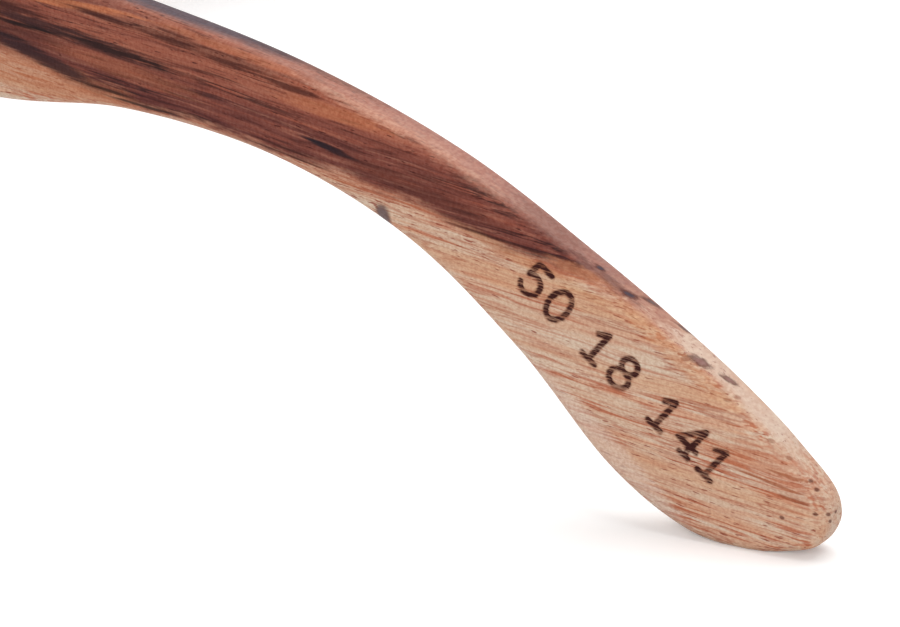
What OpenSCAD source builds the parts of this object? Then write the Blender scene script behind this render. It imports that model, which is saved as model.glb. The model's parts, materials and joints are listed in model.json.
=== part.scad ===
// Wooden sunglasses, standing open on a table.
// +X is the wearer's left, +Y runs back along the temples, +Z is up.
// The origin is on the table, below the middle of the open sunglasses.

/* [Front] */
// Width across the two end pieces
front_w = 144; // [136:1:150]
// Radius of the front's wrap round the face
front_r = 280; // [220:10:400]
// Thickness of the outer wooden ply
outer_ply_t = 1.7; // [1.2:0.1:2.2]
// Thickness of the core ply, which holds the lenses
core_ply_t = 1.6; // [1.4:0.1:2.2]
// Thickness of the inner wooden ply
inner_ply_t = 1.7; // [1.2:0.1:2.2]
// Height of the brow above each lens
brow_h = 5.4; // [4:0.2:7]
// Width of the rim round the lower half of each lens
rim_w = 4.2; // [3.2:0.2:5.4]
// Height of the bridge at its middle
bridge_h = 9.6; // [7:0.2:12]
// How far the bridge's top lies under the brow's top
bridge_drop = 7; // [4:0.5:9]
// How much of each lower rim is cut flat to stand on
foot_flat = 0.3; // [0.1:0.1:0.6]

/* [Lenses] */
// Width of each lens opening
lens_w = 50; // [46:1:52]
// Height of each lens opening
lens_h = 40; // [36:1:44]
// Distance between the two lens openings
bridge_w = 18; // [16:1:22]
// Thickness of each lens
lens_t = 1.4; // [1:0.1:1.4]
// How far each lens reaches into the core ply
lens_tuck = 0.8; // [0.5:0.1:1.2]
// Room round a lens's edge in its groove
lens_room = 0.2; // [0.1:0.05:0.4]

/* [Temples] */
// Length from the end piece to the tip
temple_l = 141; // [132:1:150]
// Thickness of each temple
temple_t = 4.2; // [3.6:0.1:5]
// Height of the temple at the end piece
root_h = 14.6; // [12:0.2:17]
// Height of the temple's middle above the table at the end piece
root_z = 34.6; // [32:0.2:37]
// Height of the temple at its narrowest, above the ear
neck_h = 8.1; // [7:0.1:10]
// Height of the temple at its tip's widest
paddle_h = 12.6; // [11:0.2:14]
// Radius of the temple's sanded edges
temple_edge_r = 1.4; // [0.8:0.1:1.8]
// How far the tip turns in towards the head
tip_inset = 5.3; // [2:0.1:7]
// Length of the stretch that turns in
inset_l = 49; // [40:1:60]

/* [Hinges] */
// Thickness of each end block at its thin outer end
block_t = 2; // [1.6:0.1:4]
// Gap between a temple's end and its end block when open
butt_gap = 0.2; // [0.1:0.05:0.3]
// Width of each end block
block_w = 11.2; // [10:0.1:11.2]
// Distance from a temple's inner face in to the hinge axis
axis_inset = 1.75; // [1.7:0.05:2]
// Distance from the end block back to the hinge axis
axis_back = 1.5; // [1.45:0.05:1.7]
// Outer radius of the hinge barrels
barrel_r = 1.25; // [1.15:0.05:1.35]
// Height of one hinge barrel and its gap
barrel_pitch = 1.28; // [1.1:0.02:1.4]
// Radius of the pivot screw's shank
pivot_r = 0.7; // [0.55:0.05:0.8]
// Running clearance round the pivot screw
pivot_gap = 0.05; // [0.02:0.01:0.08]
// Thickness of the hinge leaves
leaf_t = 0.8; // [0.6:0.1:1]
// Length of the temple leaf
temple_leaf_l = 11.5; // [10.5:0.5:14]
// Radius of a leaf screw's head
screw_head_r = 1; // [0.8:0.05:1.1]
// Radius of a leaf screw's shank
screw_r = 0.45; // [0.35:0.05:0.55]
// Length of a leaf screw
screw_l = 2.9; // [2.2:0.1:3]

/* [Nose pads] */
// Length of each nose pad
pad_l = 15; // [12:0.5:17]
// Thickness of each nose pad
pad_t = 4.4; // [3.6:0.2:5]
// How far the nose pads stand back from the front
pad_back = 7; // [5:0.5:8]

/* [Hidden] */
$fn = 48;

rosewood = "#7a4a36";
sapwood = "#c69b78";
core_wood = "#4a2c22";
smoke = "#2b2a2c";
steel = "#b9bcc0";

wrap_fn = 720;          // sides of the wrap's large cylinders
glue_line = 0.05;       // glue between two wooden pieces
leaf_room = 0.1;        // room round a leaf in its pocket
screw_room = 0.05;      // room round a leaf screw
barrel_gap = 0.08;      // gap between two neighbouring barrels
barrels = 5;            // front, temple, front, temple, front
lots = 200;             // longer than any piece

side_gap = 0.4;         // the temple's outer face lies this far in from the front's end
temple_out_x = front_w / 2 - side_gap;
temple_in_x = temple_out_x - temple_t;
axis_x = temple_in_x - axis_inset;

front_t = outer_ply_t + core_ply_t + inner_ply_t;
core_r = front_r - outer_ply_t;
inner_r = core_r - core_ply_t;
back_r = inner_r - inner_ply_t;

// How far the end block's rear face lies behind the front's foremost line.
joint_depth = front_r - sqrt(back_r * back_r - temple_out_x * temple_out_x) + block_t;
front_y = -(joint_depth + butt_gap + temple_l) / 2;
joint_y = front_y + joint_depth;
butt_y = joint_y + butt_gap;
tip_y = butt_y + temple_l;
wrap_y = front_y + front_r;
axis_y = joint_y + axis_back;

lens_x = (bridge_w + lens_w) / 2;
lens_z = rim_w - foot_flat + lens_h / 2;
brow_z = lens_z + lens_h / 2 + brow_h;
bridge_top_z = brow_z - bridge_drop;
bridge_low_z = bridge_top_z - bridge_h;

bore_r = pivot_r + pivot_gap;
stack_h = barrels * barrel_pitch;

// Smooth curves

function spline(a, b, c, d, t) =
    0.5 * (2 * b + (c - a) * t + (2 * a - 5 * b + 4 * c - d) * t * t
        + (3 * b - a - 3 * c + d) * t * t * t);

// A closed smooth curve through points.
function closed_curve(p, steps) = let (n = len(p)) [
    for (i = [0:n - 1], k = [0:steps - 1])
        spline(p[(i + n - 1) % n], p[i], p[(i + 1) % n], p[(i + 2) % n], k / steps)
];

// An open smooth curve through points, both ends included.
function open_curve(p, steps) = let (n = len(p)) [
    for (i = [0:n - 2], k = [0:steps - 1])
        spline(p[max(i - 1, 0)], p[i], p[i + 1], p[min(i + 2, n - 1)], k / steps),
    p[n - 1]
];

// A clockwise closed curve moved outwards by d.
function grown(p, d) = let (n = len(p)) [
    for (i = [0:n - 1])
        let (along = p[(i + 1) % n] - p[(i + n - 1) % n])
            p[i] + d * [-along[1], along[0]] / norm(along)
];

// Outlines of the front, seen from the front, for the wearer's left half

// The lens opening's corners and sides, as shares of its half width and half height,
// clockwise from the top; +1 is the temple's side.
lens_form = [
    [-0.2, 0.97], [0.45, 1], [0.87, 0.86], [1, 0.45], [0.91, -0.22], [0.56, -0.82],
    [0, -1], [-0.55, -0.83], [-0.88, -0.25], [-1, 0.38], [-0.8, 0.83]
];
lens_steps = 7;

function lens_outline(grow) = grown(
    closed_curve([for (q = lens_form) [lens_x + q[0] * lens_w / 2, lens_z + q[1] * lens_h / 2]],
        lens_steps),
    grow);

// A point of the rim's outer edge beside the lens form's point i.
function rim_point(i, w) = lens_outline(w)[i * lens_steps];

wing_x = 3.2;           // how far the wing's top corner lies in from the front's end
wing_z = 2.6;           // how far the wing's top corner lies under the brow's top
end_bulge = 0.3;        // how far the end piece's upper and lower sides draw in
end_x = 4.6;            // how far the end piece's lower corner lies in from the front's end
end_lower = 2.2;        // how far the end piece's lower corner lies under the temple
brow_x = 3;             // how far the brow's inner shoulder lies out from the bridge
brow_fall = 2.6;        // how far that shoulder lies under the brow's top
saddle_x = 0.6;         // how far the nose's shoulder lies out from a quarter of the bridge
saddle_fall = 2.6;      // how far that shoulder lies under the bridge

// Half of the front's outline, from the bridge's top round to the bridge's underside.
half_front = [
    [0, bridge_top_z],
    [bridge_w / 2 + brow_x, brow_z - brow_fall],
    [lens_x - lens_w * 0.04, brow_z - brow_h * 0.07],
    [lens_x + lens_w * 0.36, brow_z],
    [front_w / 2 - wing_x, brow_z - wing_z],
    [front_w / 2 - end_bulge, root_z + root_h * 0.52],
    [front_w / 2, root_z + root_h * 0.07],
    [front_w / 2 - 2 * end_bulge, root_z - root_h * 0.4],
    [front_w / 2 - end_x, root_z - root_h / 2 - end_lower],
    rim_point(4, rim_w),
    rim_point(5, rim_w),
    rim_point(6, rim_w),
    rim_point(7, rim_w),
    rim_point(8, rim_w),
    [bridge_w / 4 + saddle_x, bridge_low_z - saddle_fall],
    [0, bridge_low_z]
];
front_steps = 6;

function mirrored(p) = [for (q = p) [-q[0], q[1]]];

function front_outline() = let (
    n = len(half_front),
    row = concat([mirrored([half_front[1]])[0]], half_front, [mirrored([half_front[n - 2]])[0]]),
    half = [
        for (i = [1:n - 1], k = [0:front_steps - 1])
            spline(row[i - 1], row[i], row[i + 1], row[i + 2], k / front_steps),
        half_front[n - 1]
    ],
    m = len(half)
) concat(half, mirrored([for (i = [m - 2:-1:1]) half[i]]));

// Shared solids

// A flat outline, seen from the front, made a bar that runs along Y.
module along_y(points) {
    translate([0, lots / 2, 0]) rotate([90, 0, 0]) linear_extrude(lots) polygon(points);
}

// The part of space between two radii of the front's wrap, above the table.
module wrap_shell(r_out, r_in) {
    translate([0, wrap_y, 0]) difference() {
        cylinder(r = r_out, h = lots, $fn = wrap_fn);
        translate([0, 0, -1]) cylinder(r = r_in, h = lots + 2, $fn = wrap_fn);
    }
}

// The two sides: children are modelled on the wearer's left.
module on_side(side) {
    mirror([side == "right" ? 1 : 0, 0, 0]) children();
}

module ply(r_out, r_in, opening_grow) {
    intersection() {
        wrap_shell(r_out, r_in);
        difference() {
            along_y(front_outline());
            along_y(lens_outline(opening_grow));
            along_y(mirrored(lens_outline(opening_grow)));
        }
    }
}

// The front

module front_outer_ply() {
    color(rosewood) ply(front_r, core_r, 0);
}

module front_core_ply() {
    color(core_wood) ply(core_r, inner_r, lens_tuck + lens_room);
}

module front_inner_ply() {
    color(rosewood) ply(inner_r, back_r, 0);
}

module lens(side) {
    middle_r = (core_r + inner_r) / 2;
    color(smoke, 0.8) on_side(side) intersection() {
        wrap_shell(middle_r + lens_t / 2, middle_r - lens_t / 2);
        along_y(lens_outline(lens_tuck));
    }
}

// A rounded wooden pad, glued beside the nose; it follows the nose's slope and spreads backwards.
module nose_pad(side) {
    foot = rim_point(8, rim_w * 0.55);
    lean = -24;         // how far the pad follows the nose's slope, in degrees
    spread = 1.4;       // how far the pad's back edge stands further out
    end_r = pad_t / 2;
    tail_r = end_r * 0.7;
    half_l = pad_l / 2 - end_r;
    color(rosewood) on_side(side) difference() {
        translate([foot[0], front_y + front_t, foot[1]]) rotate([0, lean, 0]) hull() {
            for (z = [-half_l, half_l]) {
                translate([0, -end_r, z]) sphere(end_r, $fn = 32);
            }
            translate([spread, pad_back - tail_r, -half_l * 0.45]) sphere(tail_r, $fn = 32);
            translate([spread, pad_back - tail_r - 1, half_l * 0.55]) sphere(tail_r, $fn = 32);
        }
        behind_front_cut();
    }
}

// Everything in front of the inner ply's back face and its glue.
module behind_front_cut() {
    translate([0, wrap_y, -1]) difference() {
        cylinder(r = front_r + lots, h = lots, $fn = wrap_fn);
        translate([0, 0, -1]) cylinder(r = back_r - glue_line, h = lots + 2, $fn = wrap_fn);
    }
}

// Where the two screws of each leaf stand.
front_screw_x = axis_x - 1.9;
front_screw_dz = stack_h / 2 + 1.3;
temple_screw_y = [0.42, 0.82] * temple_leaf_l;
front_leaf_h = 2 * (front_screw_dz + screw_head_r + 0.5);
front_leaf_x = [front_screw_x - screw_head_r - 0.6, axis_x + 1];
temple_leaf_y0 = joint_y + 0.5;

module front_leaf_pocket(room) {
    translate([front_leaf_x[0] - room, joint_y - leaf_t - room, root_z - front_leaf_h / 2 - room])
        cube([front_leaf_x[1] - front_leaf_x[0] + 2 * room, leaf_t + room + 1,
            front_leaf_h + 2 * room]);
}

module temple_leaf_pocket(room) {
    translate([temple_in_x - 1, temple_leaf_y0 - room, root_z - stack_h / 2 - room])
        cube([leaf_t + room + 1, temple_leaf_l + 2 * room, stack_h + 2 * room]);
}

// A countersunk screw along +Z, its head's face at z = 0 and its point below.
module leaf_screw(room) {
    head_h = screw_head_r - screw_r;
    translate([0, 0, -head_h])
        cylinder(r1 = screw_r + room, r2 = screw_head_r + room, h = head_h);
    translate([0, 0, -screw_l - room]) cylinder(r = screw_r + room, h = screw_l + room - head_h / 2);
}

module screw_slot(r) {
    slot_w = 0.28;
    slot_d = 0.25;
    translate([-r - 1, -slot_w / 2, -slot_d]) cube([2 * r + 2, slot_w, slot_d + 1]);
}

module at_front_screws() {
    for (dz = [-front_screw_dz, front_screw_dz])
        translate([front_screw_x, joint_y, root_z + dz]) rotate([-90, 0, 0]) children();
}

module at_temple_screws() {
    for (dy = temple_screw_y)
        translate([temple_in_x, temple_leaf_y0 + dy, root_z]) rotate([0, -90, 0]) children();
}

// A wooden wedge that carries the hinge and squares the front's end to the temple.
module end_block(side) {
    color(rosewood) on_side(side) difference() {
        intersection() {
            translate([temple_out_x - block_w, front_y, root_z - root_h / 2 + 0.2])
                cube([block_w, joint_depth, root_h - 0.4]);
            along_y(front_outline());
        }
        behind_front_cut();
        front_leaf_pocket(leaf_room);
        at_front_screws() leaf_screw(screw_room);
    }
}

// Hinges

// One barrel of the stack, counted from the bottom.
module barrel(i) {
    translate([axis_x, axis_y, root_z - stack_h / 2 + i * barrel_pitch + barrel_gap / 2])
        cylinder(r = barrel_r, h = barrel_pitch - barrel_gap);
}

// A block that ties barrel i to its leaf.
module barrel_web(i, from, to) {
    translate([from[0], from[1], root_z - stack_h / 2 + i * barrel_pitch + barrel_gap / 2])
        cube([to[0] - from[0], to[1] - from[1], barrel_pitch - barrel_gap]);
}

module pivot_bore() {
    translate([axis_x, axis_y, root_z - stack_h]) cylinder(r = bore_r, h = 2 * stack_h);
}

module front_hinge_leaf(side) {
    color(steel) on_side(side) difference() {
        union() {
            translate([front_leaf_x[0], joint_y - leaf_t, root_z - front_leaf_h / 2])
                cube([front_leaf_x[1] - front_leaf_x[0], leaf_t, front_leaf_h]);
            for (i = [0, 2, 4]) {
                barrel(i);
                barrel_web(i, [axis_x - barrel_r * 0.8, joint_y - leaf_t / 2],
                    [axis_x + barrel_r * 0.5, axis_y]);
            }
        }
        pivot_bore();
        at_front_screws() leaf_screw(screw_room);
    }
}

module temple_hinge_leaf(side) {
    color(steel) on_side(side) difference() {
        union() {
            translate([temple_in_x, temple_leaf_y0, root_z - stack_h / 2])
                cube([leaf_t, temple_leaf_l, stack_h]);
            for (i = [1, 3]) {
                barrel(i);
                barrel_web(i, [axis_x, axis_y - barrel_r * 0.6],
                    [temple_in_x + leaf_t / 2, axis_y + barrel_r * 0.8]);
            }
        }
        pivot_bore();
        at_temple_screws() leaf_screw(screw_room);
    }
}

module hinge_pivot_screw(side) {
    head_r = barrel_r - 0.05;
    head_h = 0.6;
    lift = 0.02;
    color(steel) on_side(side) translate([axis_x, axis_y, root_z + stack_h / 2]) difference() {
        union() {
            translate([0, 0, lift]) cylinder(r = head_r, h = head_h);
            translate([0, 0, -stack_h]) cylinder(r = pivot_r, h = stack_h + lift + head_h / 2);
        }
        translate([0, 0, lift + head_h]) screw_slot(head_r);
    }
}

module front_leaf_screws(side) {
    color(steel) on_side(side) at_front_screws() difference() {
        leaf_screw(0);
        screw_slot(screw_head_r);
    }
}

module temple_leaf_screws(side) {
    color(steel) on_side(side) at_temple_screws() difference() {
        leaf_screw(0);
        screw_slot(screw_head_r);
    }
}

// Temples

// The temple's ribs, from the hinge to the tip: how far the rib's middle lies from the tip,
// its height above the table, the rib's lean in degrees, and its height.
temple_ribs = [
    [temple_l, root_z, 0, root_h],
    [temple_l - 31, root_z - 1.7, 0, root_h],
    [83, 31.5, 0, root_h - 1.4],
    [66, 31.4, 2, neck_h + 1.5],
    [49, 29.3, 11, neck_h],
    [35, 24.7, 28, neck_h + 0.3],
    [23.6, 17.5, 36, paddle_h - 2.5],
    [14.9, 10.2, 33, paddle_h],
    [8.8, 5.8, 30, paddle_h - 0.7],
    [4.6, 3.7, 26, paddle_h - 4],
    [1.8, 2.8, 21, paddle_h - 6.8],
    [0.6, 2.5, 15, paddle_h - 9.6],
    [0.3, 2.4, 12, 1]
];
rib_steps = 5;
corner_steps = 4;

// How far the temple is turned in at a distance y along the part.
function turned_in(y) = tip_inset * pow(max(0, y - tip_y + inset_l) / inset_l, 2);

// One ring of the temple: a rounded rectangle on a leaning rib.
function rib_ring(rib) = let (
    half = rib[3] / 2,
    edge = min(temple_edge_r, half * 0.95),
    cut = temple_edge_r - edge,
    half_t = temple_t / 2 - temple_edge_r + sqrt(pow(temple_edge_r, 2) - cut * cut)
) [
    for (corner = [0:3], k = [0:corner_steps - 1]) let (
        a = 90 * (corner + k / (corner_steps - 1)),
        across = (half - edge) * (corner == 0 || corner == 3 ? 1 : -1) + edge * cos(a),
        out = (half_t - edge) * (corner < 2 ? 1 : -1) + edge * sin(a),
        y = tip_y - rib[0] + across * sin(rib[2]),
        z = rib[1] + across * cos(rib[2])
    ) [temple_out_x - temple_t / 2 + out - turned_in(y), y, max(0, z)]
];

module temple_blank() {
    rings = [for (rib = open_curve(temple_ribs, rib_steps)) rib_ring(rib)];
    n = len(rings[0]);
    last = len(rings) - 1;
    sides = [
        for (i = [0:last - 1], k = [0:n - 1]) let (j = (k + 1) % n)
            each [[i * n + k, i * n + j, i * n + n + k], [i * n + j, i * n + n + j, i * n + n + k]]
    ];
    caps = [[for (k = [n - 1:-1:0]) k], [for (k = [0:n - 1]) last * n + k]];
    polyhedron(points = [for (ring = rings) each ring], faces = concat(sides, caps), convexity = 4);
}

module temple(side) {
    color(sapwood) on_side(side) difference() {
        temple_blank();
        temple_leaf_pocket(leaf_room);
        at_temple_screws() leaf_screw(screw_room);
    }
}

front_outer_ply();
front_core_ply();
front_inner_ply();
lens("left");  // left_lens
lens("right");  // right_lens
nose_pad("left");  // left_nose_pad
nose_pad("right");  // right_nose_pad
end_block("left");  // left_end_block
end_block("right");  // right_end_block
front_hinge_leaf("left");  // left_front_hinge_leaf
front_hinge_leaf("right");  // right_front_hinge_leaf
front_leaf_screws("left");  // left_front_leaf_screws
front_leaf_screws("right");  // right_front_leaf_screws
hinge_pivot_screw("left");  // left_hinge_pivot_screw
hinge_pivot_screw("right");  // right_hinge_pivot_screw
temple("left");  // left_temple
temple("right");  // right_temple
temple_hinge_leaf("left");  // left_temple_hinge_leaf
temple_hinge_leaf("right");  // right_temple_hinge_leaf
temple_leaf_screws("left");  // left_temple_leaf_screws
temple_leaf_screws("right");  // right_temple_leaf_screws
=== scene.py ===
"""Wooden sunglasses: temples, laminated front, lenses and hinges, with their finishes.

Sizes are in millimetres and become metres where a mesh is made. +X is the wearer's left,
+Y runs back along the temples and +Z is up.
"""
import json
import logging
import math
from collections.abc import Sequence
from dataclasses import dataclass, field
from enum import Enum
from itertools import product

import bmesh
import bpy
import numpy as np
from mathutils import Matrix, Vector
from mathutils.geometry import delaunay_2d_cdt


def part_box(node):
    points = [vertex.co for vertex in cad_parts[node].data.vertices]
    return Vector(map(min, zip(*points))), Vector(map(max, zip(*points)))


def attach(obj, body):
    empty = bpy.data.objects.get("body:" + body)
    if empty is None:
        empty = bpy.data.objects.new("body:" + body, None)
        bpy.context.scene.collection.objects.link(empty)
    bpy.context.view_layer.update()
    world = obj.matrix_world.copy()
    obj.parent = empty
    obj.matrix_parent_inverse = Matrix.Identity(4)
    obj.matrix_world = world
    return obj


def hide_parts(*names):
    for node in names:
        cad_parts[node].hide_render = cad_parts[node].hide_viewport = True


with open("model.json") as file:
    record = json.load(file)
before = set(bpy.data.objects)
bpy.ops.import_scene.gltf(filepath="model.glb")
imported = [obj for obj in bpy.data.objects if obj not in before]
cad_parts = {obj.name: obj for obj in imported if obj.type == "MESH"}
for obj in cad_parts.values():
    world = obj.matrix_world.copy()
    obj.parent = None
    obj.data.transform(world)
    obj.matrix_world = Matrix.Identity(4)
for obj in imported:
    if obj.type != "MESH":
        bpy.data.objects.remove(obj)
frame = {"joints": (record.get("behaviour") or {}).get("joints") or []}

LOG = logging.getLogger("wooden_sunglasses")

# One millimetre in metres.
MM = 0.001
# Angle in degrees past which an edge stays sharp.
CREASE = 40
# Vertices closer than this, in metres, are one.
MERGE = 2e-7
# Stands for a difference of nothing where one is divided by.
TINY = 1e-12

Pair = tuple[float, float]
Triple = tuple[float, float, float]
Colour = tuple[int, int, int]
Faces = list[tuple[int, ...]]
Socket = bpy.types.NodeSocket
Node = bpy.types.Node
Piece = bpy.types.Object
Material = bpy.types.Material


class Side(Enum):
    """The wearer's two sides, with the sign of X."""

    LEFT = 1
    RIGHT = -1

    @property
    def word(self) -> str:
        """The side's name as it starts a node's name."""
        return self.name.lower()


class Slot(Enum):
    """The record's material slots."""

    TEMPLE = "temple_wood"
    FRONT = "front_wood"
    CORE = "core_wood"
    LENS = "lens_smoke"
    HINGE = "hinge_steel"
    SCREW = "screw_steel"


# Curves and outlines


def spline(a: np.ndarray, b: np.ndarray, c: np.ndarray, d: np.ndarray,
           t: np.ndarray) -> np.ndarray:
    """Find points between b and c on a smooth curve through a, b, c and d.

    Args:
        a, b, c, d: Four points in a row, or four rows of them.
        t: Share of the way from b to c.

    Returns:
        The points on the curve.
    """
    rise = (c - a) * t
    bend = (2 * a - 5 * b + 4 * c - d) * t**2
    turn = (3 * b - a - 3 * c + d) * t**3
    return 0.5 * (2 * b + rise + bend + turn)


def curve_at(points: np.ndarray, where: np.ndarray) -> np.ndarray:
    """Evaluate an open smooth curve.

    Args:
        points: The points that the curve goes through.
        where: Places along it, where 1.5 is half way between points 1 and 2.

    Returns:
        One row for each place.
    """
    last = len(points) - 1
    start = np.clip(where.astype(int), 0, last - 1)
    rows = [points[np.clip(start + k, 0, last)] for k in (-1, 0, 1, 2)]
    return spline(*rows, (where - start)[:, None])


def closed_curve(points: np.ndarray, steps: int) -> np.ndarray:
    """Run a closed smooth curve through points.

    Args:
        points: The points, in order round the curve.
        steps: Steps from one point to the next.

    Returns:
        The curve's points.
    """
    share = (np.arange(steps) / steps)[None, :, None]
    before, after, beyond = (np.roll(points, shift, axis=0) for shift in (1, -1, -2))
    rows = [row[:, None, :] for row in (before, points, after, beyond)]
    return spline(*rows, share).reshape(-1, points.shape[1])


def grown(outline: np.ndarray, distance: float) -> np.ndarray:
    """Move a clockwise closed outline outwards.

    Args:
        outline: Points (x, z) of the outline.
        distance: How far it moves; below 0 moves it inwards.

    Returns:
        The moved outline, point for point.
    """
    along = np.roll(outline, -1, axis=0) - np.roll(outline, 1, axis=0)
    out = np.stack([-along[:, 1], along[:, 0]], axis=1)
    return outline + distance * out / np.linalg.norm(out, axis=1)[:, None]


def mirrored(outline: np.ndarray) -> np.ndarray:
    """Mirror a clockwise outline to the other side and keep it clockwise."""
    return (outline * [-1, 1])[::-1]


def circle(middle: Pair, radius: float, sides: int = 40) -> np.ndarray:
    """Draw a clockwise circle round a middle."""
    angle = -np.arange(sides) / sides * 2 * math.pi
    return np.array(middle) + radius * np.stack([np.cos(angle), np.sin(angle)], axis=1)


def rounded_rectangle(low: Pair, high: Pair, radius: float, steps: int = 7) -> np.ndarray:
    """Draw a clockwise rectangle with round corners.

    Args:
        low: Lower corner.
        high: Upper corner.
        radius: Radius of the corners.
        steps: Points round each corner.

    Returns:
        Points of the outline.
    """
    corners = [(high[0], high[1], 90), (high[0], low[1], 0),
               (low[0], low[1], -90), (low[0], high[1], 180)]
    centre = (np.array(low) + np.array(high)) / 2
    points = []
    for x, z, start in corners:
        inner = np.array([x, z]) - radius * np.sign(np.array([x, z]) - centre)
        for angle in np.radians(start - np.linspace(0, 90, steps)):
            points.append(inner + radius * np.array([math.cos(angle), math.sin(angle)]))
    return np.array(points)


def inside(outline: np.ndarray, points: np.ndarray) -> np.ndarray:
    """Tell which points lie inside a closed outline.

    Args:
        outline: Points of the outline.
        points: Points to test.

    Returns:
        True for each point inside.
    """
    start, end = outline, np.roll(outline, -1, axis=0)
    x, z = points[:, 0, None], points[:, 1, None]
    spans = (start[:, 1] > z) != (end[:, 1] > z)
    height = np.where(end[:, 1] == start[:, 1], TINY, end[:, 1] - start[:, 1])
    crossing = start[:, 0] + (z - start[:, 1]) / height * (end[:, 0] - start[:, 0])
    return np.sum(spans & (x < crossing), axis=1) % 2 == 1


# Meshes


def tidy_mesh(mesh: bpy.types.Mesh, crease: float) -> None:
    """Merge doubles, point the faces outwards and shade them smooth.

    Args:
        mesh: The mesh to tidy.
        crease: Angle in degrees past which an edge stays sharp.
    """
    work = bmesh.new()
    work.from_mesh(mesh)
    bmesh.ops.remove_doubles(work, verts=work.verts, dist=MERGE)
    bmesh.ops.recalc_face_normals(work, faces=work.faces)
    work.to_mesh(mesh)
    work.free()
    mesh.shade_smooth()
    mesh.set_sharp_from_angle(angle=math.radians(crease))


def add_object(name: str, data: bpy.types.ID) -> Piece:
    """Put a mesh, lamp or camera into the scene.

    Args:
        name: The object's name.
        data: The mesh, lamp or camera.

    Returns:
        The new object, at the origin.
    """
    piece = bpy.data.objects.new(name, data)
    bpy.context.scene.collection.objects.link(piece)
    return piece


def mesh_piece(name: str, points: np.ndarray, faces: Sequence[Sequence[int]]) -> Piece:
    """Make a closed mesh an object at the origin.

    Args:
        name: The object's name.
        points: Vertices in millimetres.
        faces: Vertex numbers of each face.

    Returns:
        The new object.
    """
    mesh = bpy.data.meshes.new(name)
    mesh.from_pydata((np.asarray(points) * MM).tolist(), [], [list(face) for face in faces])
    tidy_mesh(mesh, CREASE)
    return add_object(name, mesh)


def coordinates(piece: Piece) -> np.ndarray:
    """Read where a piece's vertices are.

    Args:
        piece: The piece.

    Returns:
        One row for each vertex, in millimetres.
    """
    flat = np.empty(len(piece.data.vertices) * 3)
    piece.data.vertices.foreach_get("co", flat)
    return flat.reshape(-1, 3) / MM


def set_coordinates(piece: Piece, points: np.ndarray) -> None:
    """Move a piece's vertices to points in millimetres."""
    piece.data.vertices.foreach_set("co", (points * MM).ravel())


def store(piece: Piece, name: str, values: np.ndarray) -> None:
    """Keep a number or a vector for each vertex.

    Args:
        piece: The piece that gets the attribute.
        name: The attribute's name.
        values: One number, or one row of three, for each vertex.
    """
    kind, key = ("FLOAT_VECTOR", "vector") if values.ndim == 2 else ("FLOAT", "value")
    attribute = piece.data.attributes.new(name, kind, "POINT")
    attribute.data.foreach_set(key, values.astype(np.float32).ravel())


def settle(piece: Piece) -> None:
    """Turn a piece's modifiers into its plain mesh.

    Args:
        piece: The piece, which keeps its name.
    """
    graph = bpy.context.evaluated_depsgraph_get()
    mesh = bpy.data.meshes.new_from_object(piece.evaluated_get(graph))
    piece.modifiers.clear()
    old, piece.data = piece.data, mesh
    bpy.data.meshes.remove(old)
    mesh.name = piece.name


def combine(piece: Piece, others: Sequence[Piece], operation: str,
            crease: float = CREASE) -> None:
    """Join other closed pieces to a piece, or cut them out of it, and delete them.

    Args:
        piece: The piece that is changed.
        others: The pieces that are used up.
        operation: UNION or DIFFERENCE.
        crease: Angle in degrees past which an edge stays sharp.
    """
    for other in others:
        step = piece.modifiers.new(operation, "BOOLEAN")
        step.operation = operation
        step.solver = "EXACT"
        step.object = other
    settle(piece)
    tidy_mesh(piece.data, crease)
    for other in others:
        bpy.data.meshes.remove(other.data)


def box(low: Sequence[float], high: Sequence[float]) -> Piece:
    """Make a closed box.

    Args:
        low: Lowest corner in millimetres.
        high: Highest corner in millimetres.

    Returns:
        The box.
    """
    points = list(product(*zip(low, high)))
    faces = [(0, 1, 3, 2), (4, 6, 7, 5), (0, 4, 5, 1), (2, 3, 7, 6), (0, 2, 6, 4), (1, 5, 7, 3)]
    return mesh_piece("box", np.array(points, float), faces)


def turned(name: str, profile: np.ndarray, sides: int = 48) -> Piece:
    """Turn a profile round Z, as on a lathe.

    Args:
        name: The object's name.
        profile: Points (radius, z) from the axis at the top to the axis at the bottom.
        sides: Sides round the axis.

    Returns:
        The turned piece.
    """
    angle = np.arange(sides) / sides * 2 * math.pi
    ring = np.stack([np.cos(angle), np.sin(angle)], axis=1)
    points = [[0, 0, profile[0][1]], [0, 0, profile[-1][1]]]
    inner = profile[1:-1]
    for radius, z in inner:
        points += [[radius * x, radius * y, z] for x, y in ring]
    faces = []
    for k in range(sides):
        n = (k + 1) % sides
        faces.append((0, 2 + k, 2 + n))
        for row in range(len(inner) - 1):
            upper, lower = 2 + row * sides, 2 + (row + 1) * sides
            faces.append((upper + k, lower + k, lower + n, upper + n))
        last = 2 + (len(inner) - 1) * sides
        faces.append((1, last + n, last + k))
    return mesh_piece(name, np.array(points), faces)


def move(piece: Piece, matrix: Matrix) -> None:
    """Apply a turn and a shift to a piece's mesh.

    Args:
        piece: The piece.
        matrix: The turn, and the shift in millimetres.
    """
    place = matrix.copy()
    place.translation *= MM
    piece.data.transform(place)


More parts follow.
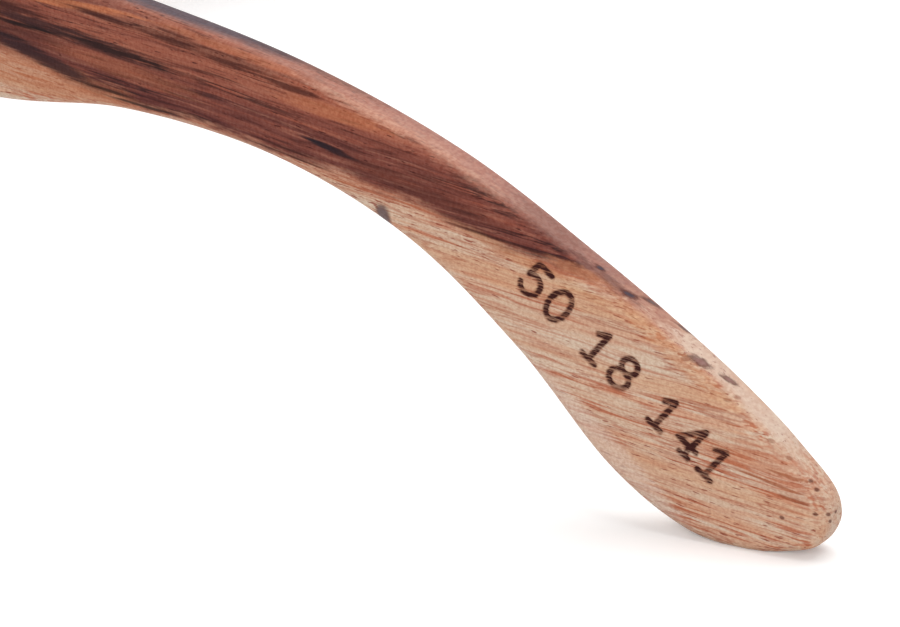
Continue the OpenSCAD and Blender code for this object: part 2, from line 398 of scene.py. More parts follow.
@dataclass
class Plate:
    """A flat plate with rounded edges: x and z are its outline, y is the depth under its front."""

    outline: np.ndarray
    thickness: float
    holes: list[np.ndarray] = field(default_factory=list)
    front_round: float = 0.05
    back_round: float = 0.05
    spacing: float = 2.5
    steps: int = 6
    clear_share: float = 0.45
    weld: float = 1e-7

    def edge_profile(self) -> list[Pair]:
        """Work out the rings of a rounded edge.

        Returns:
            How far each ring lies in from the outline, and how deep.
        """
        quarter = np.linspace(0, math.pi / 2, self.steps)
        front, back = ([(radius * (1 - math.sin(a)), radius * (1 - math.cos(a))) for a in quarter]
                       for radius in (self.front_round, self.back_round))
        return front + [(into, self.thickness - depth) for into, depth in back[::-1]]

    def face_points(self, loops: list[np.ndarray]) -> np.ndarray:
        """Spread points over a face, clear of its edges.

        Args:
            loops: The face's outline, then its holes.

        Returns:
            Points (x, z) on a grid.
        """
        low, high = loops[0].min(axis=0), loops[0].max(axis=0)
        columns = np.arange(low[0], high[0], self.spacing)
        rows = np.arange(low[1], high[1], self.spacing)
        grid = np.stack(np.meshgrid(columns, rows), axis=-1).reshape(-1, 2)
        clear = self.spacing * self.clear_share
        keep = inside(grown(loops[0], -clear), grid)
        for hole in loops[1:]:
            keep &= ~inside(grown(hole, clear), grid)
        return grid[keep]

    def face(self, loops: list[np.ndarray], starts: list[int],
             first: int) -> tuple[np.ndarray, Faces]:
        """Fill a face with triangles.

        Args:
            loops: The face's outline, then its holes.
            starts: The plate's vertex number at which each loop starts.
            first: The vertex number of the first new point.

        Returns:
            The new points (x, z) and the triangles.
        """
        extra = self.face_points(loops)
        numbers, edges, base = [], [], 0
        for loop, start in zip(loops, starts):
            count = len(loop)
            numbers += range(start, start + count)
            edges += [(base + k, base + (k + 1) % count) for k in range(count)]
            base += count
        numbers += range(first, first + len(extra))
        flat = np.concatenate([*loops, extra])
        # Output type 0 fills the whole hull; the triangles in holes and hollows drop out below.
        result = delaunay_2d_cdt([Vector(point) for point in flat], edges, [], 0, self.weld)
        places = np.array([list(point) for point in result[0]])
        source = [numbers[origins[0]] for origins in result[3]]
        triangles = np.array(result[2])
        middle = places[triangles].mean(axis=1)
        keep = inside(loops[0], middle)
        for hole in loops[1:]:
            keep &= ~inside(hole, middle)
        return extra, [tuple(source[k] for k in triangle) for triangle in triangles[keep]]

    def mesh(self) -> tuple[np.ndarray, Faces]:
        """Work out the plate's vertices and faces.

        Returns:
            Vertices (x, depth, z) in millimetres, and vertex numbers of each face.
        """
        profile = self.edge_profile()
        points, faces = [], []
        starts: list[list[int]] = [[], []]
        caps: list[list[np.ndarray]] = [[], []]
        count = 0
        for number, loop in enumerate([self.outline, *self.holes]):
            sign = -1 if number == 0 else 1
            rings = [(grown(loop, sign * into), depth) for into, depth in profile]
            sides = len(loop)
            for ring, depth in rings:
                points.append(np.insert(ring, 1, depth, axis=1))
            for row in range(len(rings) - 1):
                upper, lower = count + row * sides, count + (row + 1) * sides
                faces += [(upper + k, lower + k, lower + (k + 1) % sides, upper + (k + 1) % sides)
                          for k in range(sides)]
            for cap, row in ((0, 0), (1, len(rings) - 1)):
                starts[cap].append(count + row * sides)
                caps[cap].append(rings[row][0])
            count += sides * len(rings)
        for cap, depth in ((0, 0.0), (1, self.thickness)):
            extra, triangles = self.face(caps[cap], starts[cap], count)
            points.append(np.insert(extra, 1, depth, axis=1))
            faces += triangles
            count += len(extra)
        return np.concatenate(points), faces


# Node trees


class NodeWork:
    """Lays out the nodes of one tree."""

    def __init__(self, tree: bpy.types.NodeTree) -> None:
        """Work on a node tree."""
        self.tree = tree

    def add(self, kind: str, inputs: dict[str | int, object], **settings: object) -> Node:
        """Add a node, set its options and feed its inputs.

        Args:
            kind: The node's type.
            inputs: Values or sockets, by input name or number.
            settings: The node's own options.

        Returns:
            The new node.
        """
        node = self.tree.nodes.new(kind)
        for option, value in settings.items():
            setattr(node, option, value)
        for key, value in inputs.items():
            if isinstance(value, Socket):
                self.tree.links.new(value, node.inputs[key])
            else:
                node.inputs[key].default_value = value
        return node

    def math(self, operation: str, a: object, b: object = 0.0, clamp: bool = False) -> Socket:
        """Add a Math node and return its result."""
        node = self.add("ShaderNodeMath", {0: a, 1: b}, operation=operation, use_clamp=clamp)
        return node.outputs[0]

    def axes(self, vector: Socket) -> bpy.types.bpy_prop_collection:
        """Take a vector apart into X, Y and Z."""
        return self.add("ShaderNodeSeparateXYZ", {0: vector}).outputs


class ShapeTree(NodeWork):
    """A Geometry Nodes tree with named inputs, which ends in Realize Instances and Set Material."""

    def __init__(self, name: str, inputs: dict[str, str]) -> None:
        """Start the tree.

        Args:
            name: The tree's name.
            inputs: Socket types of its sizes, by their names.
        """
        super().__init__(bpy.data.node_groups.new(name, "GeometryNodeTree"))
        face = self.tree.interface
        face.new_socket("Geometry", in_out="OUTPUT", socket_type="NodeSocketGeometry")
        sockets = {"Geometry": "NodeSocketGeometry", **inputs, "Material": "NodeSocketMaterial"}
        for word, kind in sockets.items():
            face.new_socket(word, in_out="INPUT", socket_type=kind)
        self.given = self.tree.nodes.new("NodeGroupInput").outputs

    def close(self, geometry: Socket) -> None:
        """Realize the instances, set the material and end the tree.

        Args:
            geometry: What the tree has made.
        """
        real = self.add("GeometryNodeRealizeInstances", {"Geometry": geometry})
        dressed = self.add("GeometryNodeSetMaterial",
                           {"Geometry": real.outputs[0], "Material": self.given["Material"]})
        self.add("NodeGroupOutput", {"Geometry": dressed.outputs[0]})

    def run(self, piece: Piece, material: Material, sizes: dict[str, object]) -> None:
        """Shape a piece with the tree and keep the result as its plain mesh.

        Args:
            piece: The piece whose mesh goes in.
            material: The finish that the result gets.
            sizes: Values of the tree's named inputs.
        """
        values = {**sizes, "Material": material}
        step = piece.modifiers.new(self.tree.name, "NODES")
        step.node_group = self.tree
        for item in self.tree.interface.items_tree:
            if item.in_out == "INPUT" and item.name in values:
                step[item.identifier] = values[item.name]
        settle(piece)


def wrap_tree() -> ShapeTree:
    """Build the tree that bends a flat plate round the face.

    Returns:
        The tree; a point at depth y comes to lie that far inside the wrap's radius.
    """
    shape = ShapeTree("wrap round the face",
                      {"Radius": "NodeSocketFloat", "Middle": "NodeSocketFloat"})
    place = shape.add("GeometryNodeInputPosition", {})
    flat = shape.axes(place.outputs[0])
    radius = shape.math("SUBTRACT", shape.given["Radius"], flat["Y"])
    squares = [shape.math("POWER", length, 2.0) for length in (radius, flat["X"])]
    reach = shape.math("SQRT", shape.math("SUBTRACT", *squares))
    bent = shape.math("SUBTRACT", shape.given["Middle"], reach)
    goal = shape.add("ShaderNodeCombineXYZ", {"X": flat["X"], "Y": bent, "Z": flat["Z"]})
    moved = shape.add("GeometryNodeSetPosition",
                      {"Geometry": shape.given["Geometry"], "Position": goal.outputs[0]})
    shape.close(moved.outputs[0])
    return shape


def row_tree() -> ShapeTree:
    """Build the tree that sets copies of one small part in a row.

    Returns:
        The tree; the piece's own mesh is the part that is copied.
    """
    shape = ShapeTree("row of small parts", {
        "Count": "NodeSocketInt", "Start": "NodeSocketVector", "Step": "NodeSocketVector"})
    line = shape.add("GeometryNodeMeshLine", {
        "Count": shape.given["Count"],
        "Start Location": shape.given["Start"],
        "Offset": shape.given["Step"]})
    copies = shape.add("GeometryNodeInstanceOnPoints",
                       {"Points": line.outputs[0], "Instance": shape.given["Geometry"]})
    shape.close(copies.outputs[0])
    return shape


# Finishes


def linear(colour: Colour) -> tuple[float, float, float, float]:
    """Turn a colour as seen into the linear colour that a shader takes, by the sRGB curve.

    Args:
        colour: Red, green and blue in bytes.

    Returns:
        Red, green, blue and a full alpha.
    """
    shares = [value / 255 for value in colour]
    light = [share / 12.92 if share <= 0.04045 else ((share + 0.055) / 1.055) ** 2.4
             for share in shares]
    return (*light, 1.0)


@dataclass(frozen=True)
class Noise:
    """Noise in a material: waves to the millimetre in three directions, and a shift of its own."""

    waves: Triple
    seed: float
    detail: float = 2
    rough: float = 0.5


class NodeBench(NodeWork):
    """Lays out the shader nodes of one material or node group."""

    def times(self, a: object, b: object) -> Socket:
        """Multiply two values."""
        return self.math("MULTIPLY", a, b)

    def plus(self, a: object, b: object) -> Socket:
        """Add two values."""
        return self.math("ADD", a, b)

    def swing(self, noise: Socket, amount: object) -> Socket:
        """Centre a noise on 0 and stretch it."""
        return self.times(self.math("SUBTRACT", noise, 0.5), amount)

    def span(self, value: Socket, low: float, high: float, to_low: float = 0,
             to_high: float = 1) -> Socket:
        """Map a value smoothly from one span to another.

        Args:
            value: The value to map.
            low: The value that gives to_low.
            high: The value that gives to_high.
            to_low: Result at low.
            to_high: Result at high.

        Returns:
            The mapped value.
        """
        if low > high:
            low, high, to_low, to_high = high, low, to_high, to_low
        inputs = {"Value": value, "From Min": low, "From Max": high,
                  "To Min": to_low, "To Max": to_high}
        return self.add("ShaderNodeMapRange", inputs, interpolation_type="SMOOTHSTEP").outputs[0]

    def mix(self, share: object, a: object, b: object, blend: str = "MIX") -> Socket:
        """Mix two colours, given as sockets or in bytes.

        Args:
            share: How much of b is mixed in.
            a: The first colour.
            b: The second colour.
            blend: How the second one is laid on the first.

        Returns:
            The mixed colour.
        """
        a, b = (linear(colour) if isinstance(colour, tuple) else colour for colour in (a, b))
        inputs = {0: share, 6: a, 7: b}
        return self.add("ShaderNodeMix", inputs, data_type="RGBA", blend_type=blend).outputs[2]

    def ramp(self, value: Socket, stops: Sequence[tuple[float, Colour]]) -> Socket:
        """Pick a colour along a row of them.

        Args:
            value: Place along the row.
            stops: Places and colours, in order.

        Returns:
            The colour.
        """
        reach = stops[-1][0]
        node = self.add("ShaderNodeValToRGB", {0: self.math("DIVIDE", value, reach)})
        row = node.color_ramp.elements
        while len(row) < len(stops):
            row.new(1.0)
        for stop, (place, colour) in zip(row, stops):
            stop.position = place / reach
            stop.color = linear(colour)
        return node.outputs[0]

    def vector(self, operation: str, a: object, b: object) -> Socket:
        """Add a Vector Math node and return its vector."""
        return self.add("ShaderNodeVectorMath", {0: a, 1: b}, operation=operation).outputs[0]

    def scaled(self, vector: Socket, scale: Triple, shift: float = 0) -> Socket:
        """Stretch a vector and shift it along its first axis."""
        inputs = {0: vector, 1: scale, 2: (shift, 0, 0)}
        return self.add("ShaderNodeVectorMath", inputs, operation="MULTIPLY_ADD").outputs[0]

    def noise(self, vector: Socket, noise: Noise) -> Socket:
        """Add a noise.

        Args:
            vector: Place in millimetres.
            noise: What the noise is like.

        Returns:
            Values round one half.
        """
        inputs = {"Vector": self.scaled(vector, noise.waves, noise.seed), "Scale": 1.0,
                  "Detail": noise.detail, "Roughness": noise.rough}
        return self.add("ShaderNodeTexNoise", inputs, noise_dimensions="3D").outputs[0]

    def relief(self, height: Socket, strength: float, distance: float) -> Socket:
        """Raise the surface by a height, over a distance in metres."""
        inputs = {"Strength": strength, "Distance": distance, "Height": height}
        return self.add("ShaderNodeBump", inputs).outputs[0]

    def dress(self, surface: Node, colour: Socket, roughness: Socket,
              normal: Socket | None = None) -> None:
        """Link a finish to a surface shader.

        Args:
            surface: The shader.
            colour: Its colour.
            roughness: Its roughness.
            normal: Its relief, if it has one.
        """
        for key, socket in (("Base Color", colour), ("Roughness", roughness), ("Normal", normal)):
            if socket:
                self.tree.links.new(socket, surface.inputs[key])

    def attribute(self, name: str) -> Node:
        """Read one of the piece's own attributes."""
        return self.add("ShaderNodeAttribute", {}, attribute_type="GEOMETRY", attribute_name=name)

    def place(self) -> Socket:
        """Read the place on the piece in millimetres, from Object coordinates."""
        metres = self.add("ShaderNodeTexCoord", {}).outputs["Object"]
        return self.scaled(metres, (1 / MM, 1 / MM, 1 / MM))


def new_material(name: str) -> tuple[Material, NodeBench, Node]:
    """Start a material.

    Args:
        name: The material's name.

    Returns:
        The material, its node bench and its surface shader.
    """
    material = bpy.data.materials.new(name)
    material.use_nodes = True
    return material, NodeBench(material.node_tree), material.node_tree.nodes["Principled BSDF"]


class Grain:
    """The noises that draw the wood, each named for what it draws."""

    DRIFT = Noise((0.04, 0.16, 0.16), 3)
    WAVER = Noise((0.22, 0.3, 0.3), 5)
    FRAY = Noise((0.2, 3.6, 2.8), 7, 3, 0.65)
    SAP_BROAD = Noise((0.03, 0.42, 0.35), 11, 3, 0.6)
    SAP_WARM = Noise((0.025, 0.4, 0.3), 17)
    SAP_BANDS = Noise((0.02, 0.5, 0.4), 19)
    SAP_LINES = Noise((0.08, 1.8, 1.4), 23, 1)
    SAP_STROKES = Noise((0.19, 4, 3.2), 29, 1)
    SAP_VEINS = Noise((0.05, 0.8, 0.3), 31, 3, 0.55)
    SAP_FINE_VEINS = Noise((0.16, 1.7, 0.7), 47, 3, 0.55)
    SAP_PORES = Noise((0.8, 5, 4.5), 59, 1)
    HEART_BANDS = Noise((0.02, 0.55, 0.4), 41, 5, 0.6)
    HEART_LINES = Noise((0.06, 2.2, 1.6), 53, 5, 0.65)
    HEART_FIBRES = Noise((0.2, 3.4, 2.8), 61)
    HEART_VEINS = Noise((0.03, 0.9, 0.5), 67, 3, 0.55)
    HEART_PORES = Noise((0.8, 5, 4.5), 79, 1)
    RIDGE_FIBRES = Noise((0.14, 1.5, 2.2), 43, 3, 0.6)
    BORDER = Noise((0.5, 2.3, 1.8), 71, 4, 0.6)
    RIPPLE = Noise((3.4, 2.2, 2), 83, 1)
    FLECK = Noise((4, 7, 7), 91, 1)
    BURN = Noise((0.5, 4.2, 2.5), 97, 3, 0.65)
    FUZZ = Noise((0.5, 9, 7), 101, 3)


@dataclass(frozen=True)
class Streak:
    """A streak or knot in the wood, or a painted highlight or shade, in millimetres along, across and
    through the board.
    """

    middle: Triple
    half: Triple
    colour: Colour
    strength: float = 0.9
    lean: Triple = (0, 0, 0)
    ragged: float = 2.2


@dataclass(frozen=True)
class WoodFinish:
    """Sanded and oiled two-tone wood, with grain lines, pores, streaks and knots, and a painted sheen
    on its edges.
    """

    name: str
    heart_row: tuple[tuple[float, Colour], ...] = (
        (0, (84, 44, 42)), (0.5, (98, 52, 47)), (1.6, (113, 63, 55)), (3, (124, 69, 58)),
        (4.4, (137, 77, 63)), (5.6, (154, 91, 72)), (7.2, (156, 98, 80)), (9, (132, 81, 69)))
    sap_pale: Colour = (207, 184, 163)
    sap_tan: Colour = (201, 166, 141)
    sap_line: Colour = (201, 135, 99)
    sap_stroke: Colour = (176, 102, 74)
    sap_vein: Colour = (160, 85, 57)
    sap_tick: Colour = (138, 66, 50)
    sap_glow: Colour = (203, 154, 119)
    # Pale edge colour: sanding, and a painted sheen on the edges that face the light.
    sap_sanded_sheen: Colour = (222, 196, 183)
    border_glow: Colour = (172, 108, 84)
    heart_line: Colour = (64, 30, 28)
    heart_glow: Colour = (164, 90, 68)
    heart_fibre: Colour = (170, 112, 92)
    heart_vein: Colour = (42, 24, 26)
    heart_tick: Colour = (66, 28, 26)
    # Pale edge colour from sanding and a painted sheen, then a painted highlight on sanded fibres along
    # the ridge.
    heart_sanded_sheen: Colour = (190, 145, 132)
    heart_ridge_sanded_highlight: Colour = (212, 164, 140)
    burnt: Colour = (56, 24, 22)
    scorched: Colour = (128, 78, 56)
    # Share of the pale edge colour: sanding and painted sheen.
    sanded_sheen_share: float = 0.0
    streaks: tuple[Streak, ...] = ()
    pore_fade: float = 0.09
    gloss: float = 0.06
    relief_depth: float = 0.00003

    def build(self) -> Material:
        """Make the material.

        Returns:
            Wood that follows the piece's board, heart and burn attributes.
        """
        material, bench, surface = new_material(self.name)
        WoodBench(self, bench.tree).paint(surface)
        surface.inputs["Specular IOR Level"].default_value = self.gloss
        return material


class WoodBench(NodeBench):
    """Lays out the layers of one wooden material, on its board's coordinates in millimetres."""

    def __init__(self, finish: WoodFinish, tree: bpy.types.NodeTree) -> None:
        """Read where each point lies in the board, and how near the sapwood and the edges.

        Args:
            finish: The wood's colours and streaks.
            tree: The material's nodes.
        """
        super().__init__(tree)
        self.finish = finish
        self.raw = self.attribute("board").outputs["Vector"]
        self.height = self.attribute("heart").outputs["Fac"]
        along, _, through = self.axes(self.raw)
        edge = self.times(self.span(through, 0.45, 1.6), self.span(through, 3.9, 3.1))
        self.edge = self.times(edge, self.span(along, -1.5, -6, 0.25, 1))
        drift = self.noise(self.raw, Grain.DRIFT)
        waver = self.noise(self.raw, Grain.WAVER)
        lift = self.plus(self.swing(drift, 1.4), self.swing(waver, 0.22))
        wave = self.add("ShaderNodeCombineXYZ", {"Y": lift}).outputs[0]
        self.board = self.vector("ADD", self.raw, wave)
        self.border = self.plus(self.height, self.swing(self.grain(Grain.BORDER), 1.8))

    def grain(self, noise: Noise) -> Socket:
        """Add a noise along the wavering grain."""
        return self.noise(self.board, noise)

    def veins(self, noise: Noise, width: float, patchy: Pair) -> Socket:
        """Mask thin lines along the grain, stronger in some patches than in others.

        Args:
            noise: The noise whose middle values are the lines.
            width: Width of the lines, as a share of the waves.
            patchy: Patch values at which the lines start and are whole.

        Returns:
            The mask.
        """
        middle = self.math("ABSOLUTE", self.math("SUBTRACT", self.grain(noise), 0.5))
        line = self.span(middle, width, 0.0)
        patches = self.grain(Noise((0.06, 0.4, 0.3), noise.seed + 50, 1))
        return self.times(line, self.span(patches, *patchy))

    def ticks(self, noise: Noise, limit: float, more: object = 0.0) -> Socket:
        """Mask short open pores, one to two millimetres long, more of them where asked."""
        pores = self.plus(self.grain(noise), more)
        return self.span(pores, limit, limit + self.finish.pore_fade)

    def sapwood(self) -> Socket:
        """Colour the pale sapwood with its orange-brown grain lines, paler on the edges for sanding and
        a painted sheen.

        Returns:
            The colour.
        """
        wood = self.finish
        plain = self.math("SUBTRACT", 1.0, self.edge)
        broad = self.span(self.grain(Grain.SAP_BROAD), 0.32, 0.68)
        colour = self.mix(broad, wood.sap_pale, wood.sap_tan)
        warm = self.span(self.grain(Grain.SAP_WARM), 0.48, 0.68, 0, 0.6)
        colour = self.mix(warm, colour, wood.sap_glow)
        bands = self.span(self.grain(Grain.SAP_BANDS), 0.38, 0.6, 0.35, 1)
        masked = self.times(bands, plain)
        for noise, limit, strength, tone in ((Grain.SAP_LINES, 0.44, 0.5, wood.sap_line),
                                             (Grain.SAP_STROKES, 0.48, 0.95, wood.sap_stroke)):
            stroke = self.span(self.grain(noise), limit, limit + 0.18, 0, strength)
            colour = self.mix(self.times(stroke, masked), colour, tone)
        for noise, width, strength in ((Grain.SAP_VEINS, 0.036, 0.6),
                                       (Grain.SAP_FINE_VEINS, 0.06, 0.55)):
            lines = self.times(self.veins(noise, width, (0.42, 0.62)), strength)
            colour = self.mix(self.times(lines, plain), colour, wood.sap_vein)
        close = self.span(self.math("ABSOLUTE", self.height), 4.5, 0.0, 0, 0.09)
        close = self.plus(close, self.span(self.height, -8, -13, 0, 0.05))
        marks = self.times(self.ticks(Grain.SAP_PORES, 0.67, close), 0.85)
        colour = self.mix(marks, colour, wood.sap_tick)
        # Painted sheen, with sanding: the edges turn pale.
        return self.mix(self.times(self.edge, wood.sanded_sheen_share), colour, wood.sap_sanded_sheen)

    def heartwood(self) -> Socket:
        """Colour the dark heartwood by its height above the sapwood.

        Returns:
            The colour.
        """
        wood = self.finish
        bands = self.grain(Grain.HEART_BANDS)
        lines = self.grain(Grain.HEART_LINES)
        shifted = self.plus(self.height, self.swing(bands, 11.0))
        colour = self.ramp(self.math("MAXIMUM", shifted, 0.0), wood.heart_row)
        colour = self.mix(self.span(lines, 0.5, 0.7, 0, 0.45), colour, wood.heart_glow)
        colour = self.mix(self.span(lines, 0.3, 0.48, 0.6, 0), colour, wood.heart_line)
        fibres = self.grain(Grain.HEART_FIBRES)
        colour = self.mix(self.span(fibres, 0.52, 0.72, 0, 0.4), colour, wood.heart_fibre)
        colour = self.mix(self.span(fibres, 0.3, 0.46, 0.6, 0), colour, wood.heart_line)
        veins = self.veins(Grain.HEART_VEINS, 0.03, (0.45, 0.65))
        share = self.times(veins, self.span(self.edge, 0.0, 0.6, 0.8, 0))
        colour = self.mix(share, colour, wood.heart_vein)
        marks = self.times(self.ticks(Grain.HEART_PORES, 0.65), 0.9)
        return self.sanded(self.mix(marks, colour, wood.heart_tick))

    def sanded(self, colour: Socket) -> Socket:
        """Make the heartwood paler on its edges for sanding and a painted sheen, and paint a highlight
        on sanded fibres along the neck's upper ridge.

        Args:
            colour: The heartwood's colour so far.

        Returns:
            The colour.
        """
        wood, share = self.finish, self.finish.sanded_sheen_share
        place = self.axes(self.board)
        behind = self.span(place["X"], -52, -30)
        # Painted sheen, with sanding, on the heartwood's edges.
        worn_and_sheen = self.span(behind, 0, 1, 0.85 * share, 1.5 * share)
        colour = self.mix(self.times(self.edge, worn_and_sheen), colour, wood.heart_sanded_sheen)
        # Painted highlight on sanded fibres along the neck's upper ridge.
        ridge = self.times(self.span(place["Z"], 0.1, 1.1), self.span(place["Z"], 2.6, 1.2))
        fibres = self.span(self.grain(Grain.RIDGE_FIBRES), 0.36, 0.66, 0.3 * share, 1.2 * share)
        ridge = self.times(ridge, self.span(place["X"], -23, -32))
        pale = self.times(self.times(ridge, fibres), behind)
        return self.mix(pale, colour, wood.heart_ridge_sanded_highlight)

    def streak_group(self) -> bpy.types.NodeTree:
        """Make the node group that masks one streak or knot.

        Returns:
            The group: a long drop that frays along the grain.
        """
        group = bpy.data.node_groups.new(f"{self.finish.name} streak", "ShaderNodeTree")
        group.interface.new_socket("Mask", in_out="OUTPUT", socket_type="NodeSocketFloat")
        for word in ("Board", "Middle", "Half", "Lean"):
            group.interface.new_socket(word, in_out="INPUT", socket_type="NodeSocketVector")
        group.interface.new_socket("Ragged", in_out="INPUT", socket_type="NodeSocketFloat")
        bench = NodeBench(group)
        given = bench.add("NodeGroupInput", {}).outputs
        off = bench.vector("SUBTRACT", given["Board"], given["Middle"])
        along = bench.axes(off)["X"]
        lean = bench.add("ShaderNodeVectorMath", {0: given["Lean"], "Scale": along},
                         operation="SCALE").outputs[0]
        share = bench.vector("DIVIDE", bench.vector("SUBTRACT", off, lean), given["Half"])
        reach = bench.add("ShaderNodeVectorMath", {0: share, 1: share},
                          operation="DOT_PRODUCT").outputs["Value"]
        fray = bench.swing(bench.noise(given["Board"], Grain.FRAY), given["Ragged"])
        reach = bench.plus(reach, fray)
        bench.add("NodeGroupOutput", {"Mask": bench.span(reach, 1.05, 0.1)})
        return group

    def placed(self, colour: Socket) -> Socket:
        """Lay the streaks and knots on the wood, and the few painted highlights, reflections and shades
        among them.

        Args:
            colour: The wood's colour so far.

        Returns:
            The colour with the streaks and knots.
        """
        group = self.streak_group()
        for streak in self.finish.streaks:
            node = self.add("ShaderNodeGroup", {}, node_tree=group)
            self.tree.links.new(self.raw, node.inputs["Board"])
            for word in ("Middle", "Half", "Lean", "Ragged"):
                node.inputs[word].default_value = getattr(streak, word.lower())
            share = self.times(node.outputs[0], streak.strength)
            colour = self.mix(share, colour, streak.colour)
        return colour

    def flecked(self, colour: Socket) -> Socket:
        """Make the wood lighter and darker in ripples and flecks, most of all in blue.

        Args:
            colour: The wood's colour so far.

        Returns:
            The colour with its flecks.
        """
        ripple = self.span(self.grain(Grain.RIPPLE), 0.3, 0.7, -1, 1)
        fleck = self.span(self.noise(self.raw, Grain.FLECK), 0.3, 0.7, -0.1, 0.1)
        ripple = self.times(ripple, self.span(self.border, -0.5, 1, 0.08, 0.13))
        fleck = self.times(fleck, self.span(self.edge, 0, 1, 1, 0.4))
        rise = self.plus(ripple, fleck)
        tint = [self.plus(self.times(rise, share), 1.0) for share in (0.6, 1.1, 1.2)]
        shade = self.add("ShaderNodeCombineColor", dict(enumerate(tint))).outputs[0]
        return self.mix(1.0, colour, shade, "MULTIPLY")

    def burnt_in(self, colour: Socket) -> Socket:
        """Burn the figures in, unevenly across hard and soft grain.

        Args:
            colour: The wood's colour so far.

        Returns:
            The colour with the burnt figures.
        """
        burn = self.attribute("burn").outputs["Fac"]
        uneven = self.noise(self.raw, Grain.BURN)
        spread = self.plus(burn, self.swing(uneven, 0.8))
        colour = self.mix(self.span(spread, 0.25, 0.6, 0, 0.6), colour, self.finish.scorched)
        depth = self.span(uneven, 0.38, 0.54, 0.2, 1.0)
        stroke = self.times(self.span(spread, 0.46, 0.72), depth)
        return self.mix(stroke, colour, self.finish.burnt)

    def paint(self, surface: Node) -> None:
        """Lay all layers on a surface shader.

        Args:
            surface: The shader.
        """
        colour = self.sapwood()
        glow = self.span(self.border, -1.1, -0.1, 0, 0.7)
        colour = self.mix(glow, colour, self.finish.border_glow)
        heart = self.span(self.border, -0.6, 0.65)
        colour = self.mix(heart, colour, self.heartwood())
        colour = self.burnt_in(self.flecked(self.placed(colour)))
        fuzz = self.grain(Grain.FUZZ)
        depth = self.math("SUBTRACT", self.times(fuzz, 0.5), self.ticks(Grain.SAP_PORES, 0.69))
        relief = self.relief(depth, 0.5, self.finish.relief_depth)
        self.dress(surface, colour, self.span(fuzz, 0.3, 0.7, 0.42, 0.54), relief)


@dataclass(frozen=True)
class SteelFinish:
    """Brushed hinge steel with fine scratches."""

    name: str
    bright: Colour = (205, 205, 206)
    dull: Colour = (150, 150, 153)
    smooth: float = 0.22
    rough: float = 0.42
    relief_depth: float = 0.00002
    brush: Noise = Noise((1.2, 1.2, 16), 5, 3, 0.6)
    cloud: Noise = Noise((0.5, 0.5, 0.5), 9)

    def build(self) -> Material:
        """Make the material from brush marks on Object coordinates.

        Returns:
            The steel.
        """
        material, bench, surface = new_material(self.name)
        place = bench.place()
        brush = bench.noise(place, self.brush)
        cloud = bench.noise(place, self.cloud)
        colour = bench.mix(bench.span(brush, 0.3, 0.7), self.bright, self.dull)
        wear = bench.plus(bench.times(brush, 0.7), bench.times(cloud, 0.3))
        relief = bench.relief(brush, 0.25, self.relief_depth)
        bench.dress(surface, colour, bench.span(wear, 0.3, 0.7, self.smooth, self.rough), relief)
        surface.inputs["Metallic"].default_value = 1.0
        return material


@dataclass(frozen=True)
class LensFinish:
    """Smoke-grey lens, darker towards the brow."""

    name: str
    low_z: float
    high_z: float
    brow_tint: Colour = (66, 64, 66)
    cheek_tint: Colour = (118, 114, 112)
    smooth: float = 0.02
    rough: float = 0.06
    clear: float = 0.85
    refraction: float = 1.5
    haze: Noise = Noise((0.08, 0.08, 0.12), 5, 4, 0.6)

    def build(self) -> Material:
        """Make the material from a tint that fades down the lens.

        Returns:
            The tinted lens.
        """
        material, bench, surface = new_material(self.name)
        place = bench.place()
        fade = bench.span(bench.axes(place)["Z"], self.low_z, self.high_z)
        tint = bench.mix(fade, self.cheek_tint, self.brow_tint)
        haze = bench.noise(place, self.haze)
        bench.dress(surface, tint, bench.span(haze, 0.35, 0.75, self.smooth, self.rough))
        surface.inputs["Transmission Weight"].default_value = self.clear
        surface.inputs["IOR"].default_value = self.refraction
        return material


@dataclass(frozen=True)
class PaperFinish:
    """White paper: white to the eye and in reflections, with the object's shadow kept."""

    name: str
    glow: float = 0.14
    paper: float = 1.0
    bounce: float = 0.8
    near: float = 90
    far: float = 300

    def build(self) -> Material:
        """Make the material from a diffuse white and a glow, which grows away from the object.

        Returns:
            The paper.
        """
        material = bpy.data.materials.new(self.name)
        material.use_nodes = True
        material.node_tree.nodes.clear()
        bench = NodeBench(material.node_tree)
        place = bench.add("ShaderNodeTexCoord", {}).outputs["Object"]
        away = bench.add("ShaderNodeVectorMath", {0: place}, operation="LENGTH").outputs["Value"]
        strength = bench.span(away, self.near * MM, self.far * MM, self.glow, 1)
        glow = bench.add("ShaderNodeEmission", {"Strength": strength}).outputs[0]
        seen, other = (bench.add("ShaderNodeBsdfDiffuse", {"Color": (*[white] * 3, 1)}).outputs[0]
                       for white in (self.paper, self.bounce))
        shown = bench.add("ShaderNodeAddShader", {0: glow, 1: seen}).outputs[0]
        both = bench.add("ShaderNodeMixShader", {0: seen_rays(bench), 1: other, 2: shown})
        bench.add("ShaderNodeOutputMaterial", {"Surface": both.outputs[0]})
        return material


def seen_rays(bench: NodeBench) -> Socket:
    """Tell the rays that show the white background from those that light the object.

    Args:
        bench: The material's or the world's bench.

    Returns:
        1 for camera, glossy and transmission rays, and 0 for the rest.
    """
    path = bench.add("ShaderNodeLightPath", {}).outputs
    total = bench.plus(path["Is Camera Ray"], path["Is Glossy Ray"])
    return bench.math("ADD", total, path["Is Transmission Ray"], clamp=True)


